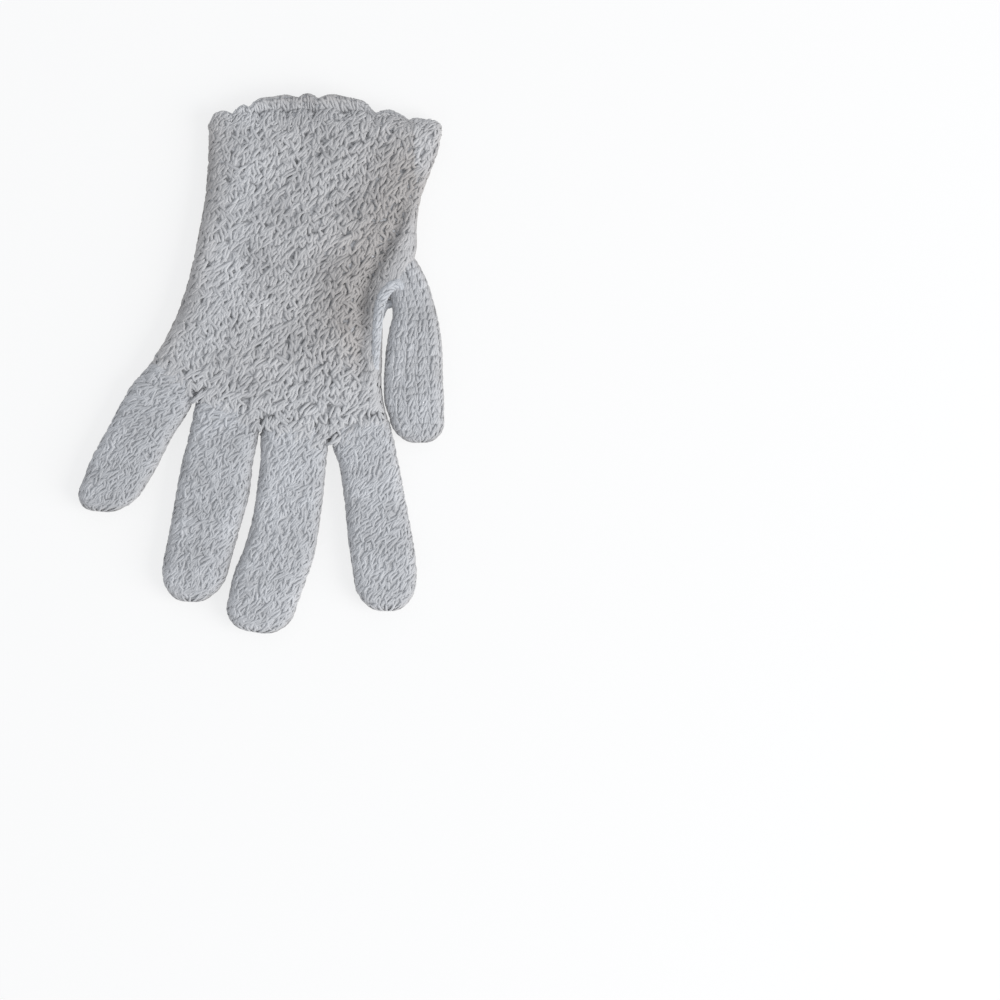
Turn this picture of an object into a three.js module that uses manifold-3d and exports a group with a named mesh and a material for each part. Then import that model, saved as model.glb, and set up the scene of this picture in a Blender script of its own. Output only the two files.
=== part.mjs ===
// A white cotton dress glove, worked in a slanted shell stitch, lying flat on its back layer.
// Millimetres, +Z up. The cuff points along +Y, the fingers along -Y and the thumb lies at +X.
// Every tube is hollow: one outer skin and one inner skin, a wall apart, open at the wrist.
// Coordinates in the tables are measured from a point in the palm; the last step moves the
// whole glove so that its origin is under its middle.

import * as THREE from 'three';
import { mergeVertices } from 'three/addons/utils/BufferGeometryUtils.js';
import Module from 'manifold-3d';

// Driving sizes
const WALL = 2.0;               // thickness of the stitched fabric
const SEAM_GAP = 0.3;           // gap between two neighbouring pieces
const CROWN_SHARE = 0.15;       // part of a tube's height that is a soft crown over the middle
const FOLD_HALF_WIDTH = 3.2;    // from the bottom of the palm fold to its rim
const TIP_LIFT = 0.42;          // height of the very tip as a share of the finger's height
const CUFF_HEIGHT = 9.5;        // height of the flattened tube at the wrist opening
const LOBE_POINTS = 6;          // points round one scallop
const FRONT_NOTCH = 2.1;        // from the top of a scallop down to its notch, front layer
const BACK_NOTCH = 1.4;         // the same on the back layer
const LOBE_PUFF = 0.35;         // how far the middle of a scallop stands out

const COTTON = { color: '#aaacb0', roughness: 0.82, metalness: 0.0 };
const EDGING_COTTON = { color: '#a5a6a9', roughness: 0.84, metalness: 0.0 };

// Palm and wrist, from the cuff down to the finger roots. Each row is one cross-section:
// its two side edges, its height, and the valley fold (place across the width, depth).
const HAND = [
  { leftX: -22.8, leftY: 98.6, rightX: 76.3, rightY: 98.0, height: 9.6, foldAt: 0.93, foldDepth: 0.0 },
  { leftX: -22.6, leftY: 90.0, rightX: 74.3, rightY: 89.0, height: 9.9, foldAt: 0.93, foldDepth: 0.0 },
  { leftX: -23.1, leftY: 79.5, rightX: 70.5, rightY: 78.5, height: 10.3, foldAt: 0.93, foldDepth: 0.2 },
  { leftX: -24.1, leftY: 69.0, rightX: 67.1, rightY: 68.8, height: 10.7, foldAt: 0.93, foldDepth: 0.8 },
  { leftX: -26.2, leftY: 57.2, rightX: 65.6, rightY: 57.8, height: 11.1, foldAt: 0.905, foldDepth: 1.4 },
  { leftX: -28.3, leftY: 46.5, rightX: 65.4, rightY: 47.8, height: 11.4, foldAt: 0.855, foldDepth: 1.7 },
  { leftX: -31.2, leftY: 34.5, rightX: 61.5, rightY: 36.5, height: 11.6, foldAt: 0.83, foldDepth: 1.8 },
  { leftX: -35.0, leftY: 22.8, rightX: 52.2, rightY: 24.4, height: 11.6, foldAt: 0.885, foldDepth: 1.7 },
  { leftX: -40.7, leftY: 10.2, rightX: 51.2, rightY: 10.8, height: 11.4, foldAt: 0.90, foldDepth: 1.3 },
  { leftX: -46.0, leftY: 1.4, rightX: 51.0, rightY: 1.0, height: 11.1, foldAt: 0.90, foldDepth: 0.9 },
  { leftX: -37.0, leftY: -6.4, rightX: 50.6, rightY: -9.0, height: 10.8, foldAt: 0.90, foldDepth: 0.6 },
  { leftX: -26.6, leftY: -14.4, rightX: 50.8, rightY: -16.0, height: 10.5, foldAt: 0.89, foldDepth: 0.3 },
  { leftX: -12.6, leftY: -21.0, rightX: 52.4, rightY: -22.0, height: 10.2, foldAt: 0.87, foldDepth: 0.0 },
  { leftX: 1.0, leftY: -27.3, rightX: 54.2, rightY: -27.6, height: 10.0, foldAt: 0.85, foldDepth: 0.0 },
  { leftX: 16.0, leftY: -30.8, rightX: 47.0, rightY: -30.6, height: 9.8, foldAt: 0.80, foldDepth: 0.0 },
];

// The five digits. Each row is one cross-section from inside the palm towards the tip, then
// comes the point of the tip and how full the tip is (2 is an ellipse). The root line is where
// the digit is joined to the palm.
const DIGITS = [
  {
    name: 'little_finger',
    root: { fromX: -46.0, fromY: 1.5, toX: -27.0, toY: -13.5 },
    tip: { x: -68.2, y: -62.0 },
    fullness: 2.4,
    rows: [
      { leftX: -36.5, leftY: 14.0, rightX: -16.5, rightY: -1.5, height: 9.2 },
      { leftX: -46.0, leftY: 1.5, rightX: -27.1, rightY: -13.4, height: 10.3 },
      { leftX: -55.6, leftY: -9.8, rightX: -30.3, rightY: -19.9, height: 10.2 },
      { leftX: -63.7, leftY: -24.8, rightX: -37.0, rightY: -30.4, height: 10.0 },
      { leftX: -71.3, leftY: -38.4, rightX: -42.6, rightY: -41.4, height: 9.8 },
      { leftX: -75.0, leftY: -48.0, rightX: -47.8, rightY: -50.4, height: 9.5 },
    ],
  },
  {
    name: 'ring_finger',
    root: { fromX: -27.0, fromY: -13.5, toX: -0.4, toY: -27.2 },
    tip: { x: -30.2, y: -100.0 },
    fullness: 2.25,
    rows: [
      { leftX: -18.0, leftY: -3.5, rightX: 2.6, rightY: -9.5, height: 9.2 },
      { leftX: -26.9, leftY: -13.8, rightX: -0.6, rightY: -27.0, height: 10.3 },
      { leftX: -30.4, leftY: -28.6, rightX: -1.5, rightY: -33.2, height: 10.2 },
      { leftX: -33.5, leftY: -40.6, rightX: -3.3, rightY: -41.8, height: 10.1 },
      { leftX: -36.1, leftY: -54.0, rightX: -5.0, rightY: -55.6, height: 10.0 },
      { leftX: -38.6, leftY: -68.6, rightX: -8.9, rightY: -69.6, height: 9.9 },
      { leftX: -41.5, leftY: -82.6, rightX: -12.9, rightY: -84.0, height: 9.6 },
    ],
  },
  {
    name: 'middle_finger',
    root: { fromX: -0.4, fromY: -27.2, toX: 29.0, toY: -32.6 },
    tip: { x: -3.0, y: -112.7 },
    fullness: 2.55,
    rows: [
      { leftX: 6.0, leftY: -10.0, rightX: 28.4, rightY: -12.5, height: 9.2 },
      { leftX: 0.0, leftY: -27.4, rightX: 28.4, rightY: -32.4, height: 10.3 },
      { leftX: -0.7, leftY: -39.6, rightX: 27.6, rightY: -40.2, height: 10.2 },
      { leftX: -2.0, leftY: -51.8, rightX: 26.5, rightY: -53.0, height: 10.1 },
      { leftX: -4.2, leftY: -65.2, rightX: 24.7, rightY: -67.4, height: 10.0 },
      { leftX: -7.6, leftY: -77.4, rightX: 22.4, rightY: -80.8, height: 9.9 },
      { leftX: -11.8, leftY: -87.8, rightX: 18.3, rightY: -93.2, height: 9.8 },
      { leftX: -14.0, leftY: -97.2, rightX: 15.2, rightY: -101.8, height: 9.5 },
    ],
  },
  {
    name: 'index_finger',
    root: { fromX: 29.0, fromY: -32.6, toX: 55.2, toY: -28.0 },
    tip: { x: 52.6, y: -103.9 },
    fullness: 2.3,
    rows: [
      { leftX: 31.0, leftY: -12.5, rightX: 48.6, rightY: -10.0, height: 9.0 },
      { leftX: 29.5, leftY: -32.4, rightX: 55.0, rightY: -27.8, height: 10.3 },
      { leftX: 32.4, leftY: -42.6, rightX: 57.8, rightY: -40.8, height: 10.2 },
      { leftX: 34.2, leftY: -54.2, rightX: 60.5, rightY: -54.8, height: 10.1 },
      { leftX: 35.4, leftY: -65.6, rightX: 62.7, rightY: -66.4, height: 10.0 },
      { leftX: 36.6, leftY: -77.6, rightX: 64.7, rightY: -78.0, height: 9.8 },
      { leftX: 38.2, leftY: -87.6, rightX: 65.6, rightY: -87.6, height: 9.6 },
    ],
  },
  {
    name: 'thumb',
    root: { fromX: 52.0, fromY: 23.6, toX: 66.4, toY: 44.6 },
    tip: { x: 66.8, y: -33.1 },
    fullness: 2.3,
    rows: [
      { leftX: 49.5, leftY: 42.0, rightX: 62.0, rightY: 49.0, height: 8.6 },
      { leftX: 52.8, leftY: 31.4, rightX: 69.4, rightY: 36.2, height: 10.5 },
      { leftX: 55.6, leftY: 21.6, rightX: 73.6, rightY: 22.6, height: 10.6 },
      { leftX: 54.3, leftY: 14.2, rightX: 75.4, rightY: 13.6, height: 10.4 },
      { leftX: 53.0, leftY: 5.2, rightX: 76.3, rightY: 5.0, height: 10.2 },
      { leftX: 52.1, leftY: -6.0, rightX: 76.5, rightY: -6.0, height: 10.0 },
      { leftX: 52.0, leftY: -15.6, rightX: 77.0, rightY: -15.6, height: 9.7 },
      { leftX: 53.6, leftY: -21.4, rightX: 76.9, rightY: -21.0, height: 9.4 },
    ],
  },
];

// The scalloped rim, from the little finger's side to the thumb's side. For each scallop: where
// it ends as a share of the cuff's width, and the height its top reaches along +Y.
const FRONT_RIM = [
  { end: 0.110, top: 106.7 },
  { end: 0.223, top: 107.8 },
  { end: 0.339, top: 108.0 },
  { end: 0.453, top: 108.3 },
  { end: 0.583, top: 108.3 },
  { end: 0.719, top: 107.4 },
  { end: 0.856, top: 106.4 },
  { end: 1.000, top: 103.2 },
];
const BACK_RIM = [
  { end: 0.110, top: 106.8 },
  { end: 0.178, top: 108.9 },
  { end: 0.280, top: 112.0 },
  { end: 0.383, top: 113.3 },
  { end: 0.472, top: 113.9 },
  { end: 0.610, top: 113.5 },
  { end: 0.715, top: 110.9 },
  { end: 0.856, top: 106.8 },
  { end: 1.000, top: 103.3 },
];
const CORNER_REACH = 5.5;       // width of the rounded corner at each end of the flattened rim
const LEFT_CORNER_DROP = 4.0;   // how far the rim comes down over the corner at -X
const RIGHT_CORNER_DROP = 0.4;  // the same over the corner at +X

const wasm = await Module();
wasm.setup();

// A smooth curve through evenly spaced values
function curveValue(p0, p1, p2, p3, t) {
  const a = 2 * p1;
  const b = p2 - p0;
  const c = 2 * p0 - 5 * p1 + 4 * p2 - p3;
  const d = 3 * p1 - p0 - 3 * p2 + p3;
  return 0.5 * (a + b * t + c * t * t + d * t * t * t);
}

// Put extra cross-sections between the rows of a table
function smoothRows(rows, partsPerRow) {
  const result = [];
  const at = (i) => rows[Math.min(Math.max(i, 0), rows.length - 1)];
  for (let i = 0; i < rows.length - 1; i += 1) {
    for (let k = 0; k < partsPerRow; k += 1) {
      const row = {};
      for (const key of Object.keys(rows[i])) {
        row[key] = curveValue(at(i - 1)[key], at(i)[key], at(i + 1)[key], at(i + 2)[key], k / partsPerRow);
      }
      result.push(row);
    }
  }
  result.push({ ...rows[rows.length - 1] });
  return result;
}

// Fill in what a row leaves out: a floor at the surface and no fold
function asSection(row) {
  return { floor: 0, foldAt: 0.5, foldDepth: 0, ...row };
}

// Cross-sections that close a digit over its tip
function tipRows(lastRow, tip, fullness, steps) {
  const midX = (lastRow.leftX + lastRow.rightX) / 2;
  const midY = (lastRow.leftY + lastRow.rightY) / 2;
  const halfX = (lastRow.rightX - lastRow.leftX) / 2;
  const halfY = (lastRow.rightY - lastRow.leftY) / 2;
  const tipHeight = lastRow.height * TIP_LIFT;
  const rows = [];
  for (let k = 1; k <= steps; k += 1) {
    const angle = (k / (steps + 0.35)) * (Math.PI / 2);
    const along = Math.pow(Math.sin(angle), 2 / fullness);
    const across = Math.pow(Math.cos(angle), 2 / fullness);
    const x = midX + (tip.x - midX) * along;
    const y = midY + (tip.y - midY) * along;
    rows.push({
      leftX: x - halfX * across,
      leftY: y - halfY * across,
      rightX: x + halfX * across,
      rightY: y + halfY * across,
      floor: tipHeight * (1 - Math.pow(across, 0.6)) * 0.8,
      height: tipHeight + (lastRow.height - tipHeight) * Math.pow(across, 0.75),
    });
  }
  return rows;
}

// The same tube seen one wall further in
function insetRow(row, wall) {
  const dx = row.rightX - row.leftX;
  const dy = row.rightY - row.leftY;
  const width = Math.hypot(dx, dy);
  const move = Math.min(wall, width * 0.42) / width;
  const room = row.height - row.floor;
  const lift = Math.min(wall, room * 0.38);
  return {
    ...row,
    leftX: row.leftX + dx * move,
    leftY: row.leftY + dy * move,
    rightX: row.rightX - dx * move,
    rightY: row.rightY - dy * move,
    floor: row.floor + lift,
    height: row.height - lift,
  };
}

// Quarter-round from a side edge (0) up to the full height (1)
function roundShare(distance, radius) {
  const reach = 1 - Math.min(1, Math.max(0, distance) / radius);
  return Math.sqrt(1 - reach * reach);
}

// Places across the width (0 to 1) where a cross-section has points on its top
function topStops(row, width, radius, innerCount, withFold) {
  const edge = [0, 0.134, 0.5, 1].map((share) => (share * radius) / width);
  const stops = [...edge];
  const foldWidth = FOLD_HALF_WIDTH / width;
  const lastStop = 1 - radius / width;
  if (withFold) {
    const rightRim = Math.min(row.foldAt + foldWidth, lastStop - 0.006);
    for (let i = 1; i <= innerCount; i += 1) {
      stops.push(edge[3] + ((row.foldAt - foldWidth - edge[3]) * i) / innerCount);
    }
    stops.push(row.foldAt, rightRim);
  } else {
    for (let i = 1; i <= innerCount; i += 1) {
      stops.push(edge[3] + ((lastStop - edge[3]) * i) / (innerCount + 1));
    }
  }
  return [...stops, ...edge.map((share) => 1 - share).reverse()];
}

// The same underneath, from the right edge back to the left
function underStops(width, radius) {
  const a = (radius * 0.293) / width;
  const b = radius / width;
  return [1 - a, 1 - b, 0.5, b, a];
}

// One closed ring of points, over the top from the left edge to the right and back underneath
function sectionRing(row, innerCount, withFold) {
  const dx = row.rightX - row.leftX;
  const dy = row.rightY - row.leftY;
  const width = Math.hypot(dx, dy);
  const middle = (row.floor + row.height) / 2;
  const rise = row.height - middle;
  const radius = Math.min(rise, width * 0.3);
  const ring = [];
  for (const stop of topStops(row, width, radius, innerCount, withFold)) {
    const fromEdge = Math.min(stop, 1 - stop) * width;
    const crown = 1 - (2 * stop - 1) * (2 * stop - 1);
    let z = middle + rise * ((1 - CROWN_SHARE) * roundShare(fromEdge, radius) + CROWN_SHARE * crown);
    if (withFold && Math.abs(stop - row.foldAt) < 1e-9) {
      z -= row.foldDepth;
    }
    ring.push(new THREE.Vector3(row.leftX + dx * stop, row.leftY + dy * stop, z));
  }
  for (const stop of underStops(width, radius)) {
    const fromEdge = Math.min(stop, 1 - stop) * width;
    const z = fromEdge > radius * 0.95 ? row.floor : middle - rise * roundShare(fromEdge, radius);
    ring.push(new THREE.Vector3(row.leftX + dx * stop, row.leftY + dy * stop, z));
  }
  return ring;
}

// Skin over a series of rings with the same number of points, closed by a fan at both ends
function loftRings(rings) {
  const count = rings[0].length;
  const positions = [];
  const index = [];
  for (const ring of rings) {
    for (const p of ring) {
      positions.push(p.x, p.y, p.z);
    }
  }
  for (let r = 0; r < rings.length - 1; r += 1) {
    for (let i = 0; i < count; i += 1) {
      const a = r * count + i;
      const b = r * count + ((i + 1) % count);
      index.push(a, a + count, b, b, a + count, b + count);
    }
  }
  const addCap = (ringNumber, forward) => {
    const centre = new THREE.Vector3();
    for (const p of rings[ringNumber]) {
      centre.addScaledVector(p, 1 / count);
    }
    const centreIndex = positions.length / 3;
    positions.push(centre.x, centre.y, centre.z);
    for (let i = 0; i < count; i += 1) {
      const a = ringNumber * count + i;
      const b = ringNumber * count + ((i + 1) % count);
      if (forward) {
        index.push(centreIndex, a, b);
      } else {
        index.push(centreIndex, b, a);
      }
    }
  };
  addCap(0, true);
  addCap(rings.length - 1, false);
  const geometry = new THREE.BufferGeometry();
  geometry.setAttribute('position', new THREE.Float32BufferAttribute(positions, 3));
  geometry.setIndex(index);
  return geometry;
}

// Between plain meshes and solids that can be joined and cut
function toSolid(geometry) {
  const plain = geometry.clone();
  plain.deleteAttribute('normal');
  plain.deleteAttribute('uv');
  const merged = mergeVertices(plain, 1e-4);
  const mesh = new wasm.Mesh({
    numProp: 3,
    vertProperties: new Float32Array(merged.attributes.position.array),
    triVerts: new Uint32Array(merged.index.array),
  });
  return new wasm.Manifold(mesh);
}

function toGeometry(solid) {
  const mesh = solid.getMesh();
  const geometry = new THREE.BufferGeometry();
  geometry.setAttribute('position', new THREE.Float32BufferAttribute(mesh.vertProperties, mesh.numProp));
  geometry.setIndex(Array.from(mesh.triVerts));
  return geometry;
}

// Everything on the tip side of a root line, moved towards the tip by the given amount
function beyondRoot(root, offset) {
  const dx = root.toX - root.fromX;
  const dy = root.toY - root.fromY;
  const length = Math.hypot(dx, dy);
  const outX = dy / length;
  const outY = -dx / length;
  const block = new THREE.BoxGeometry(400, 200, 80);
  block.rotateZ(Math.atan2(dy, dx));
  block.translate(
    (root.fromX + root.toX) / 2 + outX * (100 + offset),
    (root.fromY + root.toY) / 2 + outY * (100 + offset),
    0,
  );
  return toSolid(block);
}

// Palm and wrist as one outer and one inner tube
function handSolids() {
  const rows = smoothRows(HAND, 2).map(asSection);
  const outer = toSolid(loftRings(rows.map((row) => sectionRing(row, 9, true))));
  const innerRows = rows.slice(0, -3).map((row) => insetRow(row, WALL));
  const mouth = { ...innerRows[0], leftY: innerRows[0].leftY + 6, rightY: innerRows[0].rightY + 6 };
  const inner = toSolid(loftRings([mouth, ...innerRows].map((row) => sectionRing(row, 9, true))));
  return { outer, inner };
}

// One digit as an outer and an inner tube
function digitSolids(digit) {
  const body = smoothRows(digit.rows, 2).map(asSection);
  const last = body[body.length - 1];
  const outerRows = [...body, ...tipRows(last, digit.tip, digit.fullness, 5)];
  const midX = (last.leftX + last.rightX) / 2;
  const midY = (last.leftY + last.rightY) / 2;
  const reach = Math.hypot(digit.tip.x - midX, digit.tip.y - midY);
  const innerTip = {
    x: digit.tip.x - ((digit.tip.x - midX) * WALL) / reach,
    y: digit.tip.y - ((digit.tip.y - midY) * WALL) / reach,
  };
  const innerLast = insetRow(last, WALL);
  const innerRows = [...body.map((row) => insetRow(row, WALL))];
  for (const row of tipRows(innerLast, innerTip, digit.fullness, 4)) {
    innerRows.push({ ...row, floor: WALL + row.floor * 0.5, height: Math.max(row.height, WALL + row.floor + 1) });
  }
  return {
    outer: toSolid(loftRings(outerRows.map((row) => sectionRing(asSection(row), 3, false)))),
    inner: toSolid(loftRings(innerRows.map((row) => sectionRing(asSection(row), 3, false)))),
  };
}

// Upright block with the outline of a digit, a little wider than the digit itself
function digitZone(digit, margin) {
  const rows = smoothRows(digit.rows, 2).slice(0, -2);
  const rings = rows.map((row) => {
    const dx = row.rightX - row.leftX;
    const dy = row.rightY - row.leftY;
    const grow = margin / Math.hypot(dx, dy);
    const lowLeft = new THREE.Vector3(row.leftX - dx * grow, row.leftY - dy * grow, -5);
    const lowRight = new THREE.Vector3(row.rightX + dx * grow, row.rightY + dy * grow, -5);
    const highLeft = lowLeft.clone().setZ(30);
    const highRight = lowRight.clone().setZ(30);
    return [highLeft, highRight, lowRight, lowLeft];
  });
  return toSolid(loftRings(rings));
}

// Height of the scalloped edge at a share of the cuff's width
function scallop(rim, lobe, part, notch) {
  const here = rim[lobe].top;
  const neighbour = part < 0.5 ? rim[Math.max(lobe - 1, 0)] : rim[Math.min(lobe + 1, rim.length - 1)];
  const atNotch = (neighbour.top + here) / 2;
  const top = atNotch + (here - atNotch) * (1 - Math.abs(2 * part - 1));
  const arch = Math.pow(Math.sin(Math.PI * Math.min(part, 1)), 0.8);
  return { edgeY: top - notch * (1 - arch), arch };
}

// Points of one layer of the rim, from the little finger's side to the thumb's side
function rimLayer(section, rim, front, notch) {
  const points = [];
  for (let lobe = 0; lobe < rim.length; lobe += 1) {
    const start = lobe === 0 ? 0 : rim[lobe - 1].end;
    for (let k = 0; k < LOBE_POINTS; k += 1) {
      const part = k / LOBE_POINTS;
      const { edgeY, arch } = scallop(rim, lobe, part, notch);
      points.push(rimPoint(section, start + (rim[lobe].end - start) * part, front, edgeY, LOBE_PUFF * arch));
    }
  }
  const last = scallop(rim, rim.length - 1, 1, notch);
  points.push(rimPoint(section, 1, front, last.edgeY, 0));
  return points;
}

// One skin of the rim: the front layer, and back underneath without doubling the two ends
function rimRing(section) {
  const front = rimLayer(section, FRONT_RIM, true, FRONT_NOTCH);
  const back = rimLayer(section, BACK_RIM, false, BACK_NOTCH).reverse();
  return [...front, ...back.slice(1, -1)];
}

// The scalloped rim as one closed band, its outer and inner skin joined over the wavy edge
function rimGeometry() {
  const base = { ...HAND[0], height: CUFF_HEIGHT };
  const lift = SEAM_GAP;
  const outerBase = asSection({ ...base, leftY: base.leftY + lift, rightY: base.rightY + lift });
  const edgeOuter = rimRing(outerBase);
  const edgeInner = rimRing(insetRow(outerBase, WALL));
  const levels = [0, 0.6, 1];
  const rings = [];
  for (const level of levels) {
    rings.push(edgeOuter.map((p) => rimLevel(p, level, level > 0.9 ? 0.45 : 0)));
  }
  for (const level of [...levels].reverse()) {
    rings.push(edgeInner.map((p) => rimLevel(p, level, 0)));
  }
  return closeBand(rings);
}

// A place on the flattened ring of the cuff, with the base and the edge of the rim there
function rimPoint(section, share, front, edgeY, puff) {
  const width = section.rightX - section.leftX;
  const middle = (section.floor + section.height) / 2;
  const rise = section.height - middle;
  const fromEdge = Math.min(share, 1 - share) * width;
  const round = roundShare(fromEdge, rise);
  const crown = 1 - (2 * share - 1) * (2 * share - 1);
  let z = middle - rise * round;
  if (front) {
    z = middle + rise * ((1 - CROWN_SHARE) * round + CROWN_SHARE * crown);
  }
  const outward = front ? puff : 0;
  const corner = Math.max(0, 1 - fromEdge / CORNER_REACH);
  const drop = share < 0.5 ? LEFT_CORNER_DROP : RIGHT_CORNER_DROP;
  return {
    x: section.leftX + width * share,
    z,
    puff: outward * Math.min(1, fromEdge / rise),
    baseY: section.leftY + (section.rightY - section.leftY) * share,
    edgeY: edgeY - drop * corner * corner,
  };
}

// That place part of the way up from the base (0) to the edge (1)
function rimLevel(point, level, soften) {
  const y = point.baseY + (point.edgeY - point.baseY) * level;
  const swell = point.puff * Math.sin(Math.PI * Math.min(1, level * 0.9));
  const towardsMiddle = Math.sign(CUFF_HEIGHT / 2 - point.z) * soften;
  return new THREE.Vector3(point.x, y, point.z + swell + towardsMiddle);
}

// Skin over a closed series of rings, the last one joined back to the first
function closeBand(rings) {
  const count = rings[0].length;
  const positions = [];
  const index = [];
  for (const ring of rings) {
    for (const p of ring) {
      positions.push(p.x, p.y, p.z);
    }
  }
  for (let r = 0; r < rings.length; r += 1) {
    const next = (r + 1) % rings.length;
    for (let i = 0; i < count; i += 1) {
      const j = (i + 1) % count;
      index.push(r * count + i, r * count + j, next * count + i);
      index.push(r * count + j, next * count + j, next * count + i);
    }
  }
  const geometry = new THREE.BufferGeometry();
  geometry.setAttribute('position', new THREE.Float32BufferAttribute(positions, 3));
  geometry.setIndex(index);
  return geometry;
}

function namedMesh(name, geometry, look) {
  geometry.computeVertexNormals();
  const mesh = new THREE.Mesh(geometry, new THREE.MeshStandardMaterial(look));
  mesh.name = name;
  return mesh;
}

// Put the pieces together
const palm = handSolids();
const digitTubes = DIGITS.map((digit) => ({ digit, ...digitSolids(digit) }));

const half = SEAM_GAP / 2;
let handOuter = palm.outer;
let allInner = palm.inner;
for (const tube of digitTubes) {
  handOuter = handOuter.add(tube.outer.subtract(beyondRoot(tube.digit.root, -half)));
  allInner = allInner.add(tube.inner);
}
let hand = handOuter.subtract(allInner);
for (const tube of digitTubes) {
  let cutter = beyondRoot(tube.digit.root, -half);
  if (tube.digit.name === 'thumb') {
    cutter = cutter.intersect(digitZone(tube.digit, SEAM_GAP));
  }
  hand = hand.subtract(cutter);
}

const glove = new THREE.Group();
glove.name = 'glove';
glove.add(namedMesh('hand', toGeometry(hand), COTTON));
for (const tube of digitTubes) {
  const shell = tube.outer.subtract(tube.inner);
  const piece = shell.intersect(beyondRoot(tube.digit.root, half));
  glove.add(namedMesh(tube.digit.name, toGeometry(piece), COTTON));
}
glove.add(namedMesh('scalloped_edging', rimGeometry(), EDGING_COTTON));

// Origin under the middle of the whole glove, on the surface it lies on
const box = new THREE.Box3().setFromObject(glove);
const centre = box.getCenter(new THREE.Vector3());
for (const mesh of glove.children) {
  mesh.geometry.translate(-centre.x, -centre.y, -box.min.z);
}

export default glove;
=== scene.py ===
# %% [markdown]
# # A cotton dress glove, worked loop by loop
#
# The object is one glove of fine white cotton yarn, lying flat. The yarn is worked in a
# slanted shell stitch over the hand and the fingers, in plain ribs on the thumb, and in a
# row of scallops round the cuff. This lesson builds it in three layers:
#
# - a thin ground of cloth under the stitches, one tube for the hand and one for each digit,
# - the yarn itself, thousands of short lengths bent over that ground,
# - a cotton finish with a twist along the yarn, and soil and painted shade in the palm's fold.
#
# The stitch charts below are drawn from what one sees when looking closely.

# %% Start from the CAD frame
import math

import bpy
import numpy as np
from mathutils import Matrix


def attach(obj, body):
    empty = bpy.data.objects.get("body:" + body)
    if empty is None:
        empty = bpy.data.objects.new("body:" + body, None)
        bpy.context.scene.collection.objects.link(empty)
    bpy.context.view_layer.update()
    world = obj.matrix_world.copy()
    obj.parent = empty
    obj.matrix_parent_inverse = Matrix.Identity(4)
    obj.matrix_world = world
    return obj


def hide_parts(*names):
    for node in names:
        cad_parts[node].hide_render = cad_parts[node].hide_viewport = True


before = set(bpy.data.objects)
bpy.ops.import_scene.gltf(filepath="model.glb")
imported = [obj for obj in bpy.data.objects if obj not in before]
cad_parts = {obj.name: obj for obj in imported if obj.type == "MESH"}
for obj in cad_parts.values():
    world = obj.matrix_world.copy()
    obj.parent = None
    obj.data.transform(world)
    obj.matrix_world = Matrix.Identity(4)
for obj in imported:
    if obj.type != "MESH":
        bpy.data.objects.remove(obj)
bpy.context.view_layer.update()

# %% [markdown]
# ## Camera first
#
# The glove is seen from straight above, so the camera looks down the Z axis with the cuff
# at the top of the picture. A long lens far away keeps the outline true: a short lens
# close by would bend the fingers outwards. The picture is 420 mm wide on the table, and
# the glove lies left of and above its middle.

# %% Camera
MM = 0.001
PICTURE_WIDTH = 420.0
VIEW_HEIGHT = 1500.0
PICTURE_MIDDLE_X = 100.4
PICTURE_MIDDLE_Y = -57.5
PALM_MIDDLE_Z = 6.0

camera_data = bpy.data.cameras.new("camera")
camera_data.sensor_width = 36.0
camera_data.lens = 36.0 * (VIEW_HEIGHT - PALM_MIDDLE_Z) / PICTURE_WIDTH
camera_data.clip_start = 0.05
camera_data.clip_end = 20.0
camera = bpy.data.objects.new("camera", camera_data)
camera.location = (PICTURE_MIDDLE_X * MM, PICTURE_MIDDLE_Y * MM, VIEW_HEIGHT * MM)
bpy.context.scene.collection.objects.link(camera)
bpy.context.scene.camera = camera
print("lens, mm:", round(camera_data.lens, 1))

# %% [markdown]
# ## Sizes of the glove
#
# The tables give the flattened tubes of the glove in millimetres, as cross-sections from
# the cuff to the finger roots and from each root to its tip. A row holds the two side
# edges, the height, and for the hand the place and depth of the palm's fold. A table of
# sections is easy to read against the real thing, and everything later follows it.

# %% Section tables
TABLE_TO_FRAME = (0.115, -0.435)  # from the tables' point in the palm to the frame's origin

# left x, left y, right x, right y, height, fold place across the width, fold depth
HAND_ROWS = [
    (-22.8, 98.6, 76.3, 98.0, 9.6, 0.930, 0.0),
    (-22.6, 90.0, 74.3, 89.0, 9.9, 0.930, 0.0),
    (-23.1, 79.5, 70.5, 78.5, 10.3, 0.930, 0.2),
    (-24.1, 69.0, 67.1, 68.8, 10.7, 0.930, 0.8),
    (-26.2, 57.2, 65.6, 57.8, 11.1, 0.905, 1.4),
    (-28.3, 46.5, 65.4, 47.8, 11.4, 0.855, 1.7),
    (-31.2, 34.5, 61.5, 36.5, 11.6, 0.830, 1.8),
    (-35.0, 22.8, 52.2, 24.4, 11.6, 0.885, 1.7),
    (-40.7, 10.2, 51.2, 10.8, 11.4, 0.900, 1.3),
    (-46.0, 1.4, 51.0, 1.0, 11.1, 0.900, 0.9),
    (-37.0, -6.4, 50.6, -9.0, 10.8, 0.900, 0.6),
    (-26.6, -14.4, 50.8, -16.0, 10.5, 0.890, 0.3),
    (-12.6, -21.0, 52.4, -22.0, 10.2, 0.870, 0.0),
    (1.0, -27.3, 54.2, -27.6, 10.0, 0.850, 0.0),
    (16.0, -30.8, 47.0, -30.6, 9.8, 0.800, 0.0),
]

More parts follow.
